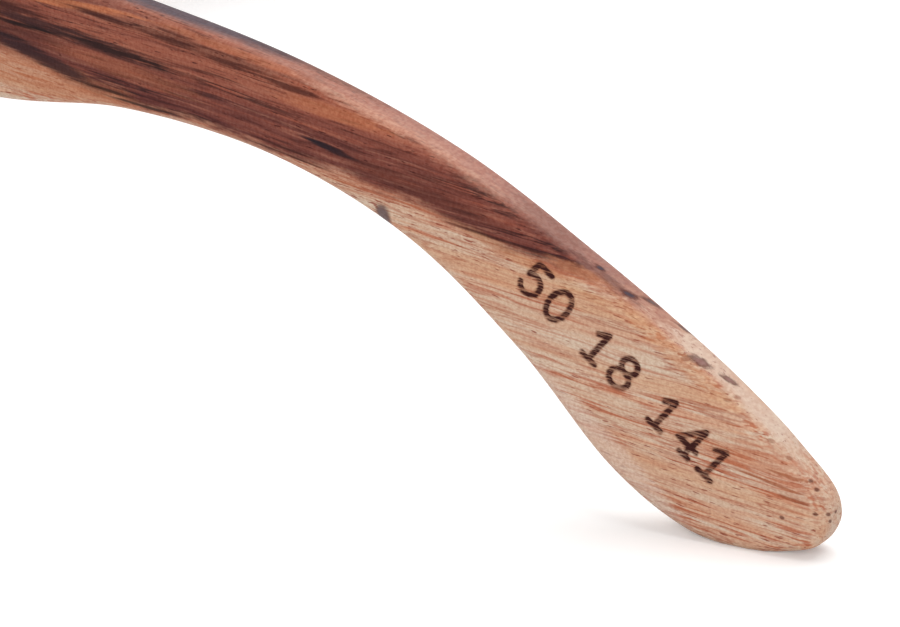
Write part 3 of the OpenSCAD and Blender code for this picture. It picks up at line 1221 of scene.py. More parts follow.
@dataclass
class Workshop:
    """The finishes and Geometry Nodes trees that the sub-assemblies share."""

    finishes: dict[Slot, Material]
    wrap: ShapeTree
    row: ShapeTree

    def hand_over(self, piece: Piece, body: str, node: str, slot: Slot) -> None:
        """Dress a piece and let it stand for a CAD node.

        Args:
            piece: The finished mesh.
            body: The CAD body that it moves with.
            node: The CAD node that it replaces.
            slot: The record's slot of its finish.
        """
        piece.data.materials.clear()
        piece.data.materials.append(self.finishes[slot])
        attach(piece, body)
        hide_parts(node)
        LOG.info("%s rides on %s and stands for %s", piece.name, body, node)


def to_side(piece: Piece, side: Side) -> None:
    """Mirror a piece that was made on the left, if it belongs on the right.

    Args:
        piece: The piece.
        side: Its own side.
    """
    if side is Side.RIGHT:
        piece.data.transform(Matrix.Diagonal((-1, 1, 1, 1)))
        piece.data.flip_normals()


def banded(height: np.ndarray, first: float = 9, period: float = 8.5) -> np.ndarray:
    """Fold the height above the sapwood back past first, so that light bands come each period."""
    wave = 0.6 * first + 0.4 * first * np.cos((height - first) / period * 2 * math.pi)
    return np.where(height < first, height, wave)


# The temples


def arc(middle: Pair, radii: Pair, start: float, end: float, steps: int = 22) -> np.ndarray:
    """Draw points along an arc of an ellipse, from one angle in degrees to another."""
    angle = np.radians(np.linspace(start, end, steps))
    return np.array(middle) + np.array(radii) * np.stack([np.cos(angle), np.sin(angle)], axis=1)


@dataclass(frozen=True)
class SizeMark:
    """Plain burnt figures on the tip: lens width, bridge width and temple length."""

    figures: str = "50 18 141"
    from_tip: float = 26.4
    height: float = 19.2
    slope: float = -39.0
    cap: float = 3.3
    advance: float = 2.75
    space: float = 1.9
    half_stroke: float = 0.21
    fade: float = 2.5
    sink: float = 0.1
    sink_from: float = 0.45
    sink_span: float = 0.3

    def strokes_of(self, figure: str) -> list[np.ndarray]:
        """Draw one figure.

        Args:
            figure: One of the figures that the mark needs.

        Returns:
            Its strokes, in shares of the cap height.
        """
        strokes = {
            "0": [arc((0.33, 0.5), (0.27, 0.44), 0, 360)],
            "1": [[(0.08, 0.76), (0.31, 0.94), (0.31, 0.06)], [(0.1, 0.06), (0.52, 0.06)]],
            "4": [[(0.47, 0.06), (0.47, 0.94), (0.06, 0.34), (0.64, 0.34)],
                  [(0.32, 0.06), (0.6, 0.06)]],
            "5": [[(0.56, 0.94), (0.15, 0.94), (0.12, 0.54)],
                  arc((0.31, 0.34), (0.27, 0.28), 130, -150)],
            "8": [arc((0.33, 0.73), (0.21, 0.21), 0, 360), arc((0.33, 0.28), (0.27, 0.24), 0, 360)],
        }
        return [np.array(stroke) for stroke in strokes[figure]]

    def segments(self) -> np.ndarray:
        """Cut all strokes into straight pieces.

        Returns:
            Their two ends, in millimetres along and above the base line.
        """
        pieces, place = [], 0.0
        for figure in self.figures:
            if figure == " ":
                place += self.space
                continue
            for stroke in self.strokes_of(figure):
                points = stroke * self.cap + [place, 0]
                pieces.append(np.stack([points[:-1], points[1:]], axis=1))
            place += self.advance
        return np.concatenate(pieces)

    def burn(self, from_tip: np.ndarray, height: np.ndarray) -> np.ndarray:
        """Tell how burnt each point of the temple's outer face is.

        Args:
            from_tip: Distance of each point from the tip.
            height: Height of each point above the table.

        Returns:
            1 in the middle of a stroke, falling to 0 beside it.
        """
        angle = math.radians(self.slope)
        ahead, rise = self.from_tip - from_tip, height - self.height
        points = np.stack([ahead * math.cos(angle) + rise * math.sin(angle),
                           rise * math.cos(angle) - ahead * math.sin(angle)], axis=1)
        nearest = np.full(len(points), np.inf)
        for start, end in self.segments():
            along = end - start
            share = np.clip((points - start) @ along / (along @ along), 0, 1)
            off = points - start - share[:, None] * along
            nearest = np.minimum(nearest, np.linalg.norm(off, axis=1))
        return np.clip(1 - nearest / (self.fade * self.half_stroke), 0, 1)

    def depth(self, burn: np.ndarray) -> np.ndarray:
        """Tell how deep the burnt points are sunk."""
        strength = np.clip((burn - self.sink_from) / self.sink_span, 0, 1)
        return self.sink * strength * strength * (3 - 2 * strength)


@dataclass
class Temple:
    """One wooden temple: a board sawn to a long curve, with sanded edges and a paddle tip."""

    side: Side
    root_z: float = 34.6
    length: float = 141
    thickness: float = 4.2
    root_height: float = 14.6
    neck_height: float = 8.1
    paddle_height: float = 12.6
    edge_round: float = 1.4
    edge_limit: float = 0.95
    end_round: float = 0.4
    tip_round: float = 2.6
    tip_reach: float = 0.25
    tip_inset: float = 5.3
    inset_length: float = 49
    marked: Pair = (5.5, 28.5)
    coarse: float = 0.55
    fine: float = 0.12
    tip_step: float = 0.16
    end_step: float = 0.07
    turn_share: float = 0.4
    samples: int = 6000
    corner_columns: int = 9
    edge_columns: int = 5
    back_columns: int = 15
    face_columns: int = 17
    marked_columns: tuple[tuple[float, float, int], ...] = (
        (1, 0.85, 4), (0.83, -0.5, 62), (-0.55, -1, 7))
    grain_slope: float = 0.16
    grain_bow: float = 0.0006
    layer_tilt: float = 0.2
    face_depth: float = 0.2
    board_shift: float = 0.0
    mark: SizeMark | None = None
    boundary: tuple[Pair, ...] = (
        (141, 15), (115, 17), (95, 19.8), (80, 21.1), (77, 20.9), (75, 20.6), (73, 20.2),
        (71, 19.9), (68, 19.7), (65, 19.7), (58, 20.1), (53, 20), (49, 19.8), (45, 20.1),
        (43, 20.2), (39, 19.6), (35, 19.6), (32, 18.9), (28, 18.4), (20, 18.1), (16.5, 17),
        (14, 16), (0, 14))

    def __post_init__(self) -> None:
        """Take the temple's place from the frame."""
        low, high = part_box("left_temple")
        self.out_x = high.x / MM
        self.tip_y = low.y / MM + self.length

    def ribs(self) -> np.ndarray:
        """List the ribs from hinge to tip.

        Returns:
            Distance from the tip, height of the middle, lean in degrees, and height of each rib.
        """
        root, neck, paddle = self.root_height, self.neck_height, self.paddle_height
        return np.array([
            (self.length, self.root_z, 0, root),
            (self.length - 31, self.root_z - 1.7, 0, root),
            (83, 31.5, 0, root - 1.4),
            (66, 31.4, 2, neck + 1.5),
            (49, 29.3, 11, neck),
            (35, 24.7, 28, neck + 0.3),
            (23.6, 17.5, 36, paddle - 2.5),
            (14.9, 10.2, 33, paddle),
            (8.8, 5.8, 30, paddle - 0.7),
            (4.6, 3.75, 26, paddle - 3.6),
            (1.6, 3, 20, paddle - 6.9),
            (0.4, 2.7, 15, paddle - 9),
            (0.1, 2.8, 12, 1.8),
            (-0.05, 2.9, 12, 0.2),
        ])

    def stations(self) -> np.ndarray:
        """Spread ribs along the temple, close together where the figures are.

        Returns:
            One row for each rib, as in ribs.
        """
        ribs = self.ribs()
        dense = curve_at(ribs, np.linspace(0, len(ribs) - 1, self.samples))
        step = np.full(len(dense), self.coarse)
        if self.mark:
            step[(dense[:, 0] > self.marked[0]) & (dense[:, 0] < self.marked[1])] = self.fine
        step[dense[:, 0] < self.marked[0]] = self.tip_step
        step[dense[:, 0] > self.length - 2 * self.end_round] = self.end_step
        travel = np.linalg.norm(np.diff(dense[:, :2], axis=0), axis=1)
        turn = np.abs(np.diff(dense[:, 3])) * self.turn_share
        count = np.concatenate([[0], np.cumsum((travel + turn) / step[1:])])
        wanted = np.linspace(0, count[-1], int(count[-1]) + 2)
        return np.stack([np.interp(wanted, count, dense[:, k]) for k in range(4)], axis=1)

    def ring(self) -> np.ndarray:
        """Lay out one rib's ring, close together where the figures are.

        Returns:
            Rows of four: shares of the flat half height and half thickness, then of the edge's radius.
        """
        spread = self.marked_columns if self.mark else [(1, -1, self.face_columns)]
        face = np.concatenate([np.linspace(*run) for run in spread])
        edge = np.linspace(1, -1, self.edge_columns)
        back = np.linspace(-1, 1, self.back_columns)
        flats = [[(share, 1, 0, 1) for share in face], [(-1, share, -1, 0) for share in edge],
                 [(share, -1, 0, -1) for share in back], [(1, -share, 1, 0) for share in edge]]
        rows = []
        for number, corner in enumerate([(1, 1), (-1, 1), (-1, -1), (1, -1)]):
            for angle in np.radians(90 * number + np.linspace(0, 90, self.corner_columns)):
                rows.append((*corner, math.cos(angle), math.sin(angle)))
            rows += flats[number][1:-1]
        return np.array(rows)

    def turned_in(self, y: np.ndarray) -> np.ndarray:
        """Tell how far the temple is turned in towards the head at a place along Y."""
        start = self.tip_y - self.inset_length
        return self.tip_inset * (np.maximum(0, y - start) / self.inset_length) ** 2

    def loft(self) -> tuple[np.ndarray, Faces]:
        """Loft the temple through its ribs.

        Returns:
            Vertices in millimetres and vertex numbers of each face.
        """
        from_tip, middle, lean, height = (column[:, None] for column in self.stations().T)
        up, out, edge_up, edge_out = (column[None, :] for column in self.ring().T)
        into = np.clip(from_tip - self.length + self.end_round, 0, self.end_round)
        draw = self.end_round - np.sqrt(self.end_round**2 - into**2)
        half = height / 2 - draw
        edge = np.minimum(self.edge_round, half * self.edge_limit)
        cut = self.edge_round - edge
        half_t = self.thickness / 2 - draw - self.edge_round + np.sqrt(self.edge_round**2 - cut**2)
        across = (half - edge) * up + edge * edge_up
        outward = (half_t - edge) * out + edge * edge_out
        lean = np.radians(lean)
        y = self.tip_y - from_tip + across * np.sin(lean)
        short = np.clip(self.tip_round - (self.tip_y + self.tip_reach - y), 0, self.tip_round)
        narrow = self.tip_round - np.sqrt(self.tip_round**2 - short**2)
        outward = outward * (1 - narrow / self.thickness)
        z = np.maximum(0, middle + across * np.cos(lean))
        x = self.out_x - self.thickness / 2 + outward - self.turned_in(y)
        rows, sides = y.shape
        points = np.stack([x, y, z], axis=-1).reshape(-1, 3)
        faces = [(low + k, low + (k + 1) % sides, low + sides + (k + 1) % sides, low + sides + k)
                 for low in range(0, (rows - 1) * sides, sides) for k in range(sides)]
        faces += [tuple(range(sides)), tuple((rows - 1) * sides + k for k in range(sides))]
        return points, faces

    def lay_board(self, piece: Piece) -> None:
        """Store where each point lies in the board, how far above the sapwood, and how burnt.

        Args:
            piece: The temple's mesh, on the left side.
        """
        x, y, z = coordinates(piece).T
        from_tip = self.tip_y - y
        depth = self.out_x - self.turned_in(y) - x
        level = z - self.grain_slope * from_tip + self.grain_bow * from_tip**2 + self.layer_tilt * depth
        place, line = np.array(self.boundary[::-1]).T
        store(piece, "board", np.stack([self.board_shift - from_tip, level, depth], axis=1))
        store(piece, "heart", banded(level - np.interp(from_tip, place, line)))
        if self.mark:
            burn = np.where(depth < self.face_depth, self.mark.burn(from_tip, z), 0)
            store(piece, "burn", burn)
            x -= self.mark.depth(burn)
            set_coordinates(piece, np.stack([x, y, z], axis=1))

    def build(self, shop: Workshop, hinge: "Hinge") -> None:
        """Make the temple and hand it over.

        Args:
            shop: The shared finishes and trees.
            hinge: The hinge whose leaf is let into the temple.
        """
        piece = mesh_piece(f"{self.side.word}_temple_wood", *self.loft())
        combine(piece, [hinge.temple_pocket()], "DIFFERENCE")
        self.lay_board(piece)
        to_side(piece, self.side)
        shop.hand_over(piece, f"{self.side.word}_temple", f"{self.side.word}_temple", Slot.TEMPLE)


# The hinges


@dataclass
class Hinge:
    """One five-barrel hinge: two leaves, their screws and the pivot screw."""

    side: Side
    shop: Workshop
    leaf_t: float = 0.8
    leaf_gap: float = 0.5
    leaf_corner: float = 0.7
    leaf_rounds: Pair = (0.03, 0.14)
    leaf_spacing: float = 1.2
    leaf_steps: int = 4
    plate_past: float = 1
    barrels: int = 5
    barrel_r: float = 1.25
    barrel_gap: float = 0.08
    barrel_chamfer: float = 0.1
    barrel_sides: int = 56
    bore_r: float = 0.75
    bore_sides: int = 40
    front_web: Pair = (0.8, 0.5)
    temple_web: Pair = (0.6, 0.8)
    pivot_r: float = 0.7
    pivot_head: float = 0.6
    pivot_lift: float = 0.02
    pivot_turn: float = 25
    pivot_bevel: float = 0.15
    screw_head_r: float = 1.0
    screw_r: float = 0.45
    screw_l: float = 2.9
    screw_turn: float = 35
    screw_crease: float = 30
    thread_depth: float = 0.1
    thread_pitch: float = 0.24
    thread_stop: float = 0.5
    front_screw_in: float = 1.9
    front_screw_up: float = 1.3
    temple_screw_shares: Pair = (0.42, 0.82)
    slot_w: float = 0.28
    slot_d: float = 0.25
    slot_reach: float = 3
    room: float = 0.1
    screw_room: float = 0.05
    cut_past: float = 1

    def __post_init__(self) -> None:
        """Take the hinge's place from the frame."""
        joint = next(j for j in frame["joints"] if j["name"] == "left_temple_fold")
        self.axis_x, self.axis_y, self.root_z = (value / MM for value in joint["pos_m"])
        leaf_low, leaf_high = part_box("left_temple_hinge_leaf")
        plate_low, plate_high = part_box("left_front_hinge_leaf")
        self.joint_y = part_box("left_end_block")[1].y / MM
        self.in_x = leaf_high.x / MM - self.leaf_t
        self.stack_h = (leaf_high.z - leaf_low.z) / MM
        self.pitch = self.stack_h / self.barrels
        self.leaf_end_y = leaf_high.y / MM
        self.leaf_start_y = self.joint_y + self.leaf_gap
        self.plate_low_x = plate_low.x / MM
        self.plate_high_x = self.axis_x + self.plate_past
        self.plate_half_h = (plate_high.z - plate_low.z) / MM / 2
        self.front_screw_x = self.axis_x - self.front_screw_in
        up = self.stack_h / 2 + self.front_screw_up
        self.front_screw_z = [self.root_z - up, self.root_z + up]
        length = self.leaf_end_y - self.leaf_start_y
        shares = self.temple_screw_shares
        self.temple_screw_y = [self.leaf_start_y + share * length for share in shares]

    def temple_pocket(self) -> Piece:
        """Make the body of the pocket in the temple.

        Returns:
            The body, with room round the leaf.
        """
        room, half = self.room, self.stack_h / 2
        low = (self.in_x - self.cut_past, self.leaf_start_y - room, self.root_z - half - room)
        high = (self.in_x + self.leaf_t + room, self.leaf_end_y + room, self.root_z + half + room)
        return box(low, high)

    def block_pocket(self) -> Piece:
        """Make the body of the pocket in the end block.

        Returns:
            The body, with room round the leaf.
        """
        room, half = self.room, self.plate_half_h
        floor = self.joint_y - self.leaf_t - room
        low = (self.plate_low_x - room, floor, self.root_z - half - room)
        high = (self.plate_high_x + room, self.joint_y + self.cut_past, self.root_z + half + room)
        return box(low, high)

    def barrel_base(self, number: int) -> float:
        """Find the height at which a barrel starts, counted from the bottom."""
        return self.root_z - self.stack_h / 2 + number * self.pitch + self.barrel_gap / 2

    def web(self, number: int, low: Pair, high: Pair) -> Piece:
        """Make the block that ties one barrel to its leaf, between two corners (x, y)."""
        base = self.barrel_base(number)
        return box((*low, base), (*high, base + self.pitch - self.barrel_gap))

    def barrel_row(self, numbers: range) -> Piece:
        """Set barrels along the axis.

        Args:
            numbers: The barrels, counted from the bottom.

        Returns:
            The barrels in one mesh.
        """
        height, chamfer, outer = self.pitch - self.barrel_gap, self.barrel_chamfer, self.barrel_r
        profile = [(0, height), (outer - chamfer, height), (outer, height - chamfer),
                   (outer, chamfer), (outer - chamfer, 0), (0, 0)]
        barrel = turned("barrel", np.array(profile), self.barrel_sides)
        start = Vector((self.axis_x, self.axis_y, self.barrel_base(numbers[0])))
        step = Vector((0, 0, numbers.step * self.pitch))
        self.shop.row.run(barrel, self.shop.finishes[Slot.HINGE],
                          {"Count": len(numbers), "Start": start * MM, "Step": step * MM})
        return barrel

    def pivot_bore(self) -> Piece:
        """Make the body of the bore through the barrels.

        Returns:
            The body, longer than the row of barrels.
        """
        reach = self.stack_h
        profile = [(0, reach), (self.bore_r, reach), (self.bore_r, -reach), (0, -reach)]
        bore = turned("bore", np.array(profile), self.bore_sides)
        move(bore, Matrix.Translation((self.axis_x, self.axis_y, self.root_z)))
        return bore

    def plate(self, low: Pair, high: Pair, holes: Sequence[Pair]) -> Plate:
        """Lay out a leaf's plate.

        Args:
            low: Lower corner of its outline.
            high: Upper corner of its outline.
            holes: Middles of its screw holes.

        Returns:
            The plate; its back is the face that shows.
        """
        rings = [circle(middle, self.screw_head_r + self.screw_room) for middle in holes]
        outline = rounded_rectangle(low, high, self.leaf_corner)
        return Plate(outline, self.leaf_t, rings, *self.leaf_rounds, self.leaf_spacing,
                     self.leaf_steps)

    def join_barrels(self, leaf: Piece, numbers: range, low: Pair, high: Pair) -> Piece:
        """Join barrels to a leaf and bore them for the pivot screw.

        Args:
            leaf: The leaf's plate.
            numbers: The barrels, counted from the bottom.
            low: Lowest x and y of the blocks that tie them to the plate.
            high: Highest x and y of those blocks.

        Returns:
            The whole leaf.
        """
        webs = [self.web(number, low, high) for number in numbers]
        combine(leaf, [*webs, self.barrel_row(numbers)], "UNION")
        combine(leaf, [self.pivot_bore()], "DIFFERENCE")
        return leaf

    def front_leaf(self) -> Piece:
        """Make the leaf on the end block.

        Returns:
            The leaf with every other barrel, from the lowest on.
        """
        low = (self.plate_low_x, self.root_z - self.plate_half_h)
        high = (self.plate_high_x, self.root_z + self.plate_half_h)
        holes = [(self.front_screw_x, z) for z in self.front_screw_z]
        points, faces = self.plate(low, high, holes).mesh()
        points = points + [0, self.joint_y - self.leaf_t, 0]
        leaf = mesh_piece(f"{self.side.word}_front_leaf_steel", points, faces)
        before, past = (self.barrel_r * share for share in self.front_web)
        web_low = (self.axis_x - before, self.joint_y - self.leaf_t / 2)
        web_high = (self.axis_x + past, self.axis_y)
        return self.join_barrels(leaf, range(0, self.barrels, 2), web_low, web_high)

    def temple_leaf(self) -> Piece:
        """Make the leaf that is let into the temple.

        Returns:
            The leaf with the barrels between those of the front leaf.
        """
        low = (self.leaf_start_y, self.root_z - self.stack_h / 2)
        high = (self.leaf_end_y, self.root_z + self.stack_h / 2)
        holes = [(y, self.root_z) for y in self.temple_screw_y]
        points, faces = self.plate(low, high, holes).mesh()
        along, depth, up = points.T
        points = np.stack([self.in_x + self.leaf_t - depth, along, up], axis=1)
        leaf = mesh_piece(f"{self.side.word}_temple_leaf_steel", points, faces)
        before, past = (self.barrel_r * share for share in self.temple_web)
        web_low = (self.axis_x, self.axis_y - before)
        web_high = (self.in_x + self.leaf_t / 2, self.axis_y + past)
        return self.join_barrels(leaf, range(1, self.barrels, 2), web_low, web_high)

    def slotted(self, name: str, profile: Sequence[Pair]) -> Piece:
        """Turn a screw and cut its slot.

        Args:
            name: The object's name.
            profile: Points (radius, z) from the head's middle down.

        Returns:
            The screw along Z with its head's face at z = 0.
        """
        screw = turned(name, np.array(profile))
        reach, half = self.slot_reach, self.slot_w / 2
        cutter = box((-reach, -half, -self.slot_d), (reach, half, self.cut_past))
        combine(screw, [cutter], "DIFFERENCE", self.screw_crease)
        return screw

    def leaf_screw(self, name: str) -> Piece:
        """Turn one countersunk leaf screw with its thread's ridges.

        Args:
            name: The object's name.

        Returns:
            The screw along Z.
        """
        head, shank, tip = self.screw_head_r, self.screw_r, -self.screw_l
        groove = shank - self.thread_depth
        profile = [(0, 0.05), (head * 0.55, 0.04), (head - 0.08, 0), (head, -0.06),
                   (shank, shank - head)]
        z = shank - head - self.thread_depth
        while z > tip + self.thread_stop:
            profile += [(groove, z), (shank, z - self.thread_pitch / 2)]
            z -= self.thread_pitch
        profile += [(groove, tip + 0.35), (0.06, tip), (0, tip)]
        return self.slotted(name, profile)

    def screws(self, name: str, turn: Matrix, places: list[Vector]) -> Piece:
        """Set a leaf's two screws.

        Args:
            name: The object's name.
            turn: Turn that brings the screw's head to face outwards.
            places: Middles of the two heads.

        Returns:
            Both screws in one mesh.
        """
        screw = self.leaf_screw(name)
        move(screw, turn @ Matrix.Rotation(math.radians(self.screw_turn), 4, "Z"))
        step = places[1] - places[0]
        self.shop.row.run(screw, self.shop.finishes[Slot.SCREW],
                          {"Count": len(places), "Start": places[0] * MM, "Step": step * MM})
        return screw

    def pivot(self) -> Piece:
        """Turn the pivot screw.

        Returns:
            The screw in its place on the hinge's axis.
        """
        head_r, head, shank = self.barrel_r - 0.05, self.pivot_head, self.pivot_r
        end = -head - self.stack_h
        profile = [(0, 0.03), (head_r * 0.6, 0.02), (head_r - 0.12, -0.02), (head_r, -0.14),
                   (head_r, -head), (shank, -head), (shank, end + self.pivot_bevel),
                   (shank - self.pivot_bevel, end), (0, end)]
        pivot = self.slotted(f"{self.side.word}_pivot_steel", profile)
        top = self.root_z + self.stack_h / 2 + self.pivot_lift + self.pivot_head
        turn = Matrix.Rotation(math.radians(self.pivot_turn), 4, "Z")
        move(pivot, Matrix.Translation((self.axis_x, self.axis_y, top)) @ turn)
        return pivot

    def build(self) -> None:
        """Make the hinge's pieces and hand them over."""
        word, temple = self.side.word, f"{self.side.word}_temple"
        back = Matrix.Rotation(math.radians(-90), 4, "X")
        inward = Matrix.Rotation(math.radians(-90), 4, "Y")
        front_places = [Vector((self.front_screw_x, self.joint_y, z)) for z in self.front_screw_z]
        temple_places = [Vector((self.in_x, y, self.root_z)) for y in self.temple_screw_y]
        front_screws = self.screws(f"{word}_front_screws_steel", back, front_places)
        temple_screws = self.screws(f"{word}_temple_screws_steel", inward, temple_places)
        made = [
            (self.front_leaf(), "front", f"{word}_front_hinge_leaf", Slot.HINGE),
            (front_screws, "front", f"{word}_front_leaf_screws", Slot.SCREW),
            (self.pivot(), "front", f"{word}_hinge_pivot_screw", Slot.SCREW),
            (self.temple_leaf(), temple, f"{word}_temple_hinge_leaf", Slot.HINGE),
            (temple_screws, temple, f"{word}_temple_leaf_screws", Slot.SCREW),
        ]
        for piece, body, node, slot in made:
            to_side(piece, self.side)
            self.shop.hand_over(piece, body, node, slot)


# The front


@dataclass(frozen=True)
class NosePad:
    """A nose pad: a smooth wooden drop over four balls, two at its foot and two at its tail."""

    length: float = 15
    thick: float = 4.4
    back: float = 7
    spread: float = 1.4
    lean: float = -24
    tail_share: float = 0.7
    tail_low: float = 0.45
    tail_high: float = 0.55
    tail_slant: float = 1
    foot_share: float = 0.55
    glue: float = 0.03
    ball_sides: int = 24
    ball_rings: int = 16
    voxel: float = 0.24
    smoothing: int = 8
    crease: float = 50

    def drop(self, name: str) -> Piece:
        """Hull the balls and sand the hull.

        Args:
            name: The object's name.

        Returns:
            The drop, upright at the origin and in millimetres.
        """
        end_r = self.thick / 2
        tail_r = end_r * self.tail_share
        half = self.length / 2 - end_r
        tail_y = self.back - tail_r
        balls = [((0, -end_r, -half), end_r), ((0, -end_r, half), end_r),
                 ((self.spread, tail_y, -half * self.tail_low), tail_r),
                 ((self.spread, tail_y - self.tail_slant, half * self.tail_high), tail_r)]
        work = bmesh.new()
        for middle, radius in balls:
            bmesh.ops.create_uvsphere(work, u_segments=self.ball_sides, v_segments=self.ball_rings,
                                      radius=radius, matrix=Matrix.Translation(middle))
        hull = bmesh.ops.convex_hull(work, input=work.verts)
        inner = [item for item in hull["geom_interior"] if isinstance(item, bmesh.types.BMVert)]
        bmesh.ops.delete(work, geom=inner)
        mesh = bpy.data.meshes.new(name)
        work.to_mesh(mesh)
        work.free()
        piece = add_object(name, mesh)
        remesh = piece.modifiers.new("even skin", "REMESH")
        remesh.mode = "VOXEL"
        remesh.voxel_size = self.voxel
        smooth = piece.modifiers.new("sanded", "SMOOTH")
        smooth.iterations = self.smoothing
        settle(piece)
        return piece


@dataclass
class Front:
    """The laminated front: three wooden plies, two lenses, nose pads and end blocks."""

    width: float = 144
    wrap_r: float = 280
    outer_t: float = 1.7
    core_t: float = 1.6
    inner_t: float = 1.7
    whole_t: float = 5
    brow_h: float = 5.4
    rim_w: float = 4.2
    bridge_h: float = 9.6
    bridge_drop: float = 7
    foot_flat: float = 0.3
    lens_w: float = 50
    lens_h: float = 40
    bridge_w: float = 18
    lens_t: float = 1.4
    lens_tuck: float = 0.8
    lens_room: float = 0.2
    lens_round: float = 0.2
    lens_spacing: float = 1.6
    root_h: float = 14.6
    root_z: float = 34.6
    edge_round: float = 1.2
    glued_round: float = 0.06
    block_corner: float = 1.0
    block_rounds: Pair = (0.02, 0.45)
    block_spacing: float = 1.5
    block_glue: float = 0.05
    grain_rise: float = 0.05
    grain_bow: float = 0.0008
    border_wave: float = 1.5
    border_length: float = 19
    pad_plank: float = 860
    block_plank: float = 1200
    block_sapwood: float = 8
    plank_step: float = 90
    hole_steps: int = 9
    front_steps: int = 9
    pad: NosePad = NosePad()
    lens_form: tuple[Pair, ...] = (
        (-0.2, 0.97), (0.45, 1), (0.87, 0.86), (1, 0.45), (0.91, -0.22), (0.56, -0.82),
        (0, -1), (-0.55, -0.83), (-0.88, -0.25), (-1, 0.38), (-0.8, 0.83))

    def __post_init__(self) -> None:
        """Take the front's place from the frame."""
        self.front_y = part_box("front_outer_ply")[0].y / MM
        self.wrap_y = self.front_y + self.wrap_r
        self.core_r = self.wrap_r - self.outer_t
        self.inner_r = self.core_r - self.core_t
        self.back_r = self.inner_r - self.inner_t
        self.lens_x = (self.bridge_w + self.lens_w) / 2
        self.lens_z = self.rim_w - self.foot_flat + self.lens_h / 2

    def lens_outline(self, grow: float) -> np.ndarray:
        """Draw the left lens opening.

        Args:
            grow: How far it is grown outwards.

        Returns:
            Points (x, z) of the opening.
        """
        half = [self.lens_w / 2, self.lens_h / 2]
        form = np.array(self.lens_form) * half + [self.lens_x, self.lens_z]
        return grown(closed_curve(form, self.hole_steps), grow)

    def rim_point(self, number: int, width: float) -> np.ndarray:
        """Find the rim's outer edge beside one point of the lens form."""
        return self.lens_outline(width)[number * self.hole_steps]

    def outline(self) -> np.ndarray:
        """Draw the whole front's outline.

        Returns:
            Points (x, z), clockwise from the bridge's top.
        """
        brow_z = self.lens_z + self.lens_h / 2 + self.brow_h
        bridge_top = brow_z - self.bridge_drop
        bridge_low = bridge_top - self.bridge_h
        end = self.width / 2
        half = np.array([
            (0, bridge_top),
            (self.bridge_w / 2 + 3, brow_z - 2.6),
            (self.lens_x - self.lens_w * 0.04, brow_z - self.brow_h * 0.07),
            (self.lens_x + self.lens_w * 0.36, brow_z),
            (end - 3.2, brow_z - 2.6),
            (end - 0.3, self.root_z + self.root_h * 0.52),
            (end, self.root_z + self.root_h * 0.07),
            (end - 0.6, self.root_z - self.root_h * 0.4),
            (end - 4.6, self.root_z - self.root_h / 2 - 2.2),
            *[self.rim_point(number, self.rim_w) for number in range(4, 9)],
            (self.bridge_w / 4 + 0.6, bridge_low - 2.6),
            (0, bridge_low),
        ])
        whole = closed_curve(np.concatenate([half, mirrored(half)[1:-1]]), self.front_steps)
        return np.maximum(whole, [-self.width, 0])

    def back_face(self, x: np.ndarray) -> np.ndarray:
        """Find the Y of the front's back face at an x."""
        return self.wrap_y - np.sqrt(self.back_r**2 - np.asarray(x) ** 2)

    def lay_board(self, piece: Piece, seed: float, sapwood: float) -> None:
        """Store where each point of a wooden piece lies in its board.

        Args:
            piece: The piece; its grain runs across the face.
            seed: Place along a long plank that this piece was sawn from.
            sapwood: Height above the table at which the heartwood starts.
        """
        x, y, z = coordinates(piece).T
        level = z + self.grain_rise * x + self.grain_bow * x**2
        wave = self.border_wave * np.sin(x / self.border_length + seed)
        store(piece, "board", np.stack([seed + x, level, y], axis=1))
        store(piece, "heart", banded(level - sapwood + wave))

    def ply(self, shop: Workshop, name: str, radius: float, thickness: float, grow: float,
            rounds: Pair) -> Piece:
        """Make one ply of the front.

        Args:
            shop: The shared finishes and trees.
            name: The object's name.
            radius: Radius of its outer face.
            thickness: Its thickness.
            grow: How much its lens openings are grown.
            rounds: Radii of its edges, outside and inside.

        Returns:
            The ply, bent round the face.
        """
        hole = self.lens_outline(grow)
        flat = Plate(self.outline(), thickness, [hole, mirrored(hole)], *rounds)
        piece = mesh_piece(name, *flat.mesh())
        self.bend(shop, piece, radius)
        return piece

    def bend(self, shop: Workshop, piece: Piece, radius: float) -> None:
        """Bend a flat plate to a radius of the front's wrap.

        Args:
            shop: The shared finishes and trees.
            piece: The plate.
            radius: Radius of its outer face.
        """
        shop.wrap.run(piece, shop.finishes[Slot.FRONT],
                      {"Radius": radius * MM, "Middle": self.wrap_y * MM})
        tidy_mesh(piece.data, CREASE)

    def lens(self, shop: Workshop, side: Side) -> Piece:
        """Make one lens.

        Args:
            shop: The shared finishes and trees.
            side: The lens's side.

        Returns:
            The lens, bent round the face.
        """
        outline = self.lens_outline(self.lens_tuck)
        if side is Side.RIGHT:
            outline = mirrored(outline)
        rounds = (self.lens_round, self.lens_round)
        flat = Plate(outline, self.lens_t, [], *rounds, self.lens_spacing)
        piece = mesh_piece(f"{side.word}_lens_smoke", *flat.mesh())
        self.bend(shop, piece, (self.core_r + self.inner_r + self.lens_t) / 2)
        return piece

    def nose_pad(self, side: Side) -> Piece:
        """Make one nose pad and glue it to the back of the rim.

        Args:
            side: The pad's side.

        Returns:
            The pad.
        """
        pad = self.pad
        piece = pad.drop(f"{side.word}_nose_pad_wood")
        foot = self.rim_point(8, self.rim_w * pad.foot_share)
        turn = Matrix.Rotation(math.radians(pad.lean), 4, "Y")
        seat = Matrix.Translation((foot[0], self.front_y + self.whole_t, foot[1]))
        piece.data.transform(seat @ turn)
        piece.data.transform(Matrix.Scale(MM, 4))
        points = coordinates(piece)
        points[:, 1] = np.maximum(points[:, 1], self.back_face(points[:, 0]) + pad.glue)
        set_coordinates(piece, points)
        tidy_mesh(piece.data, pad.crease)
        to_side(piece, side)
        return piece

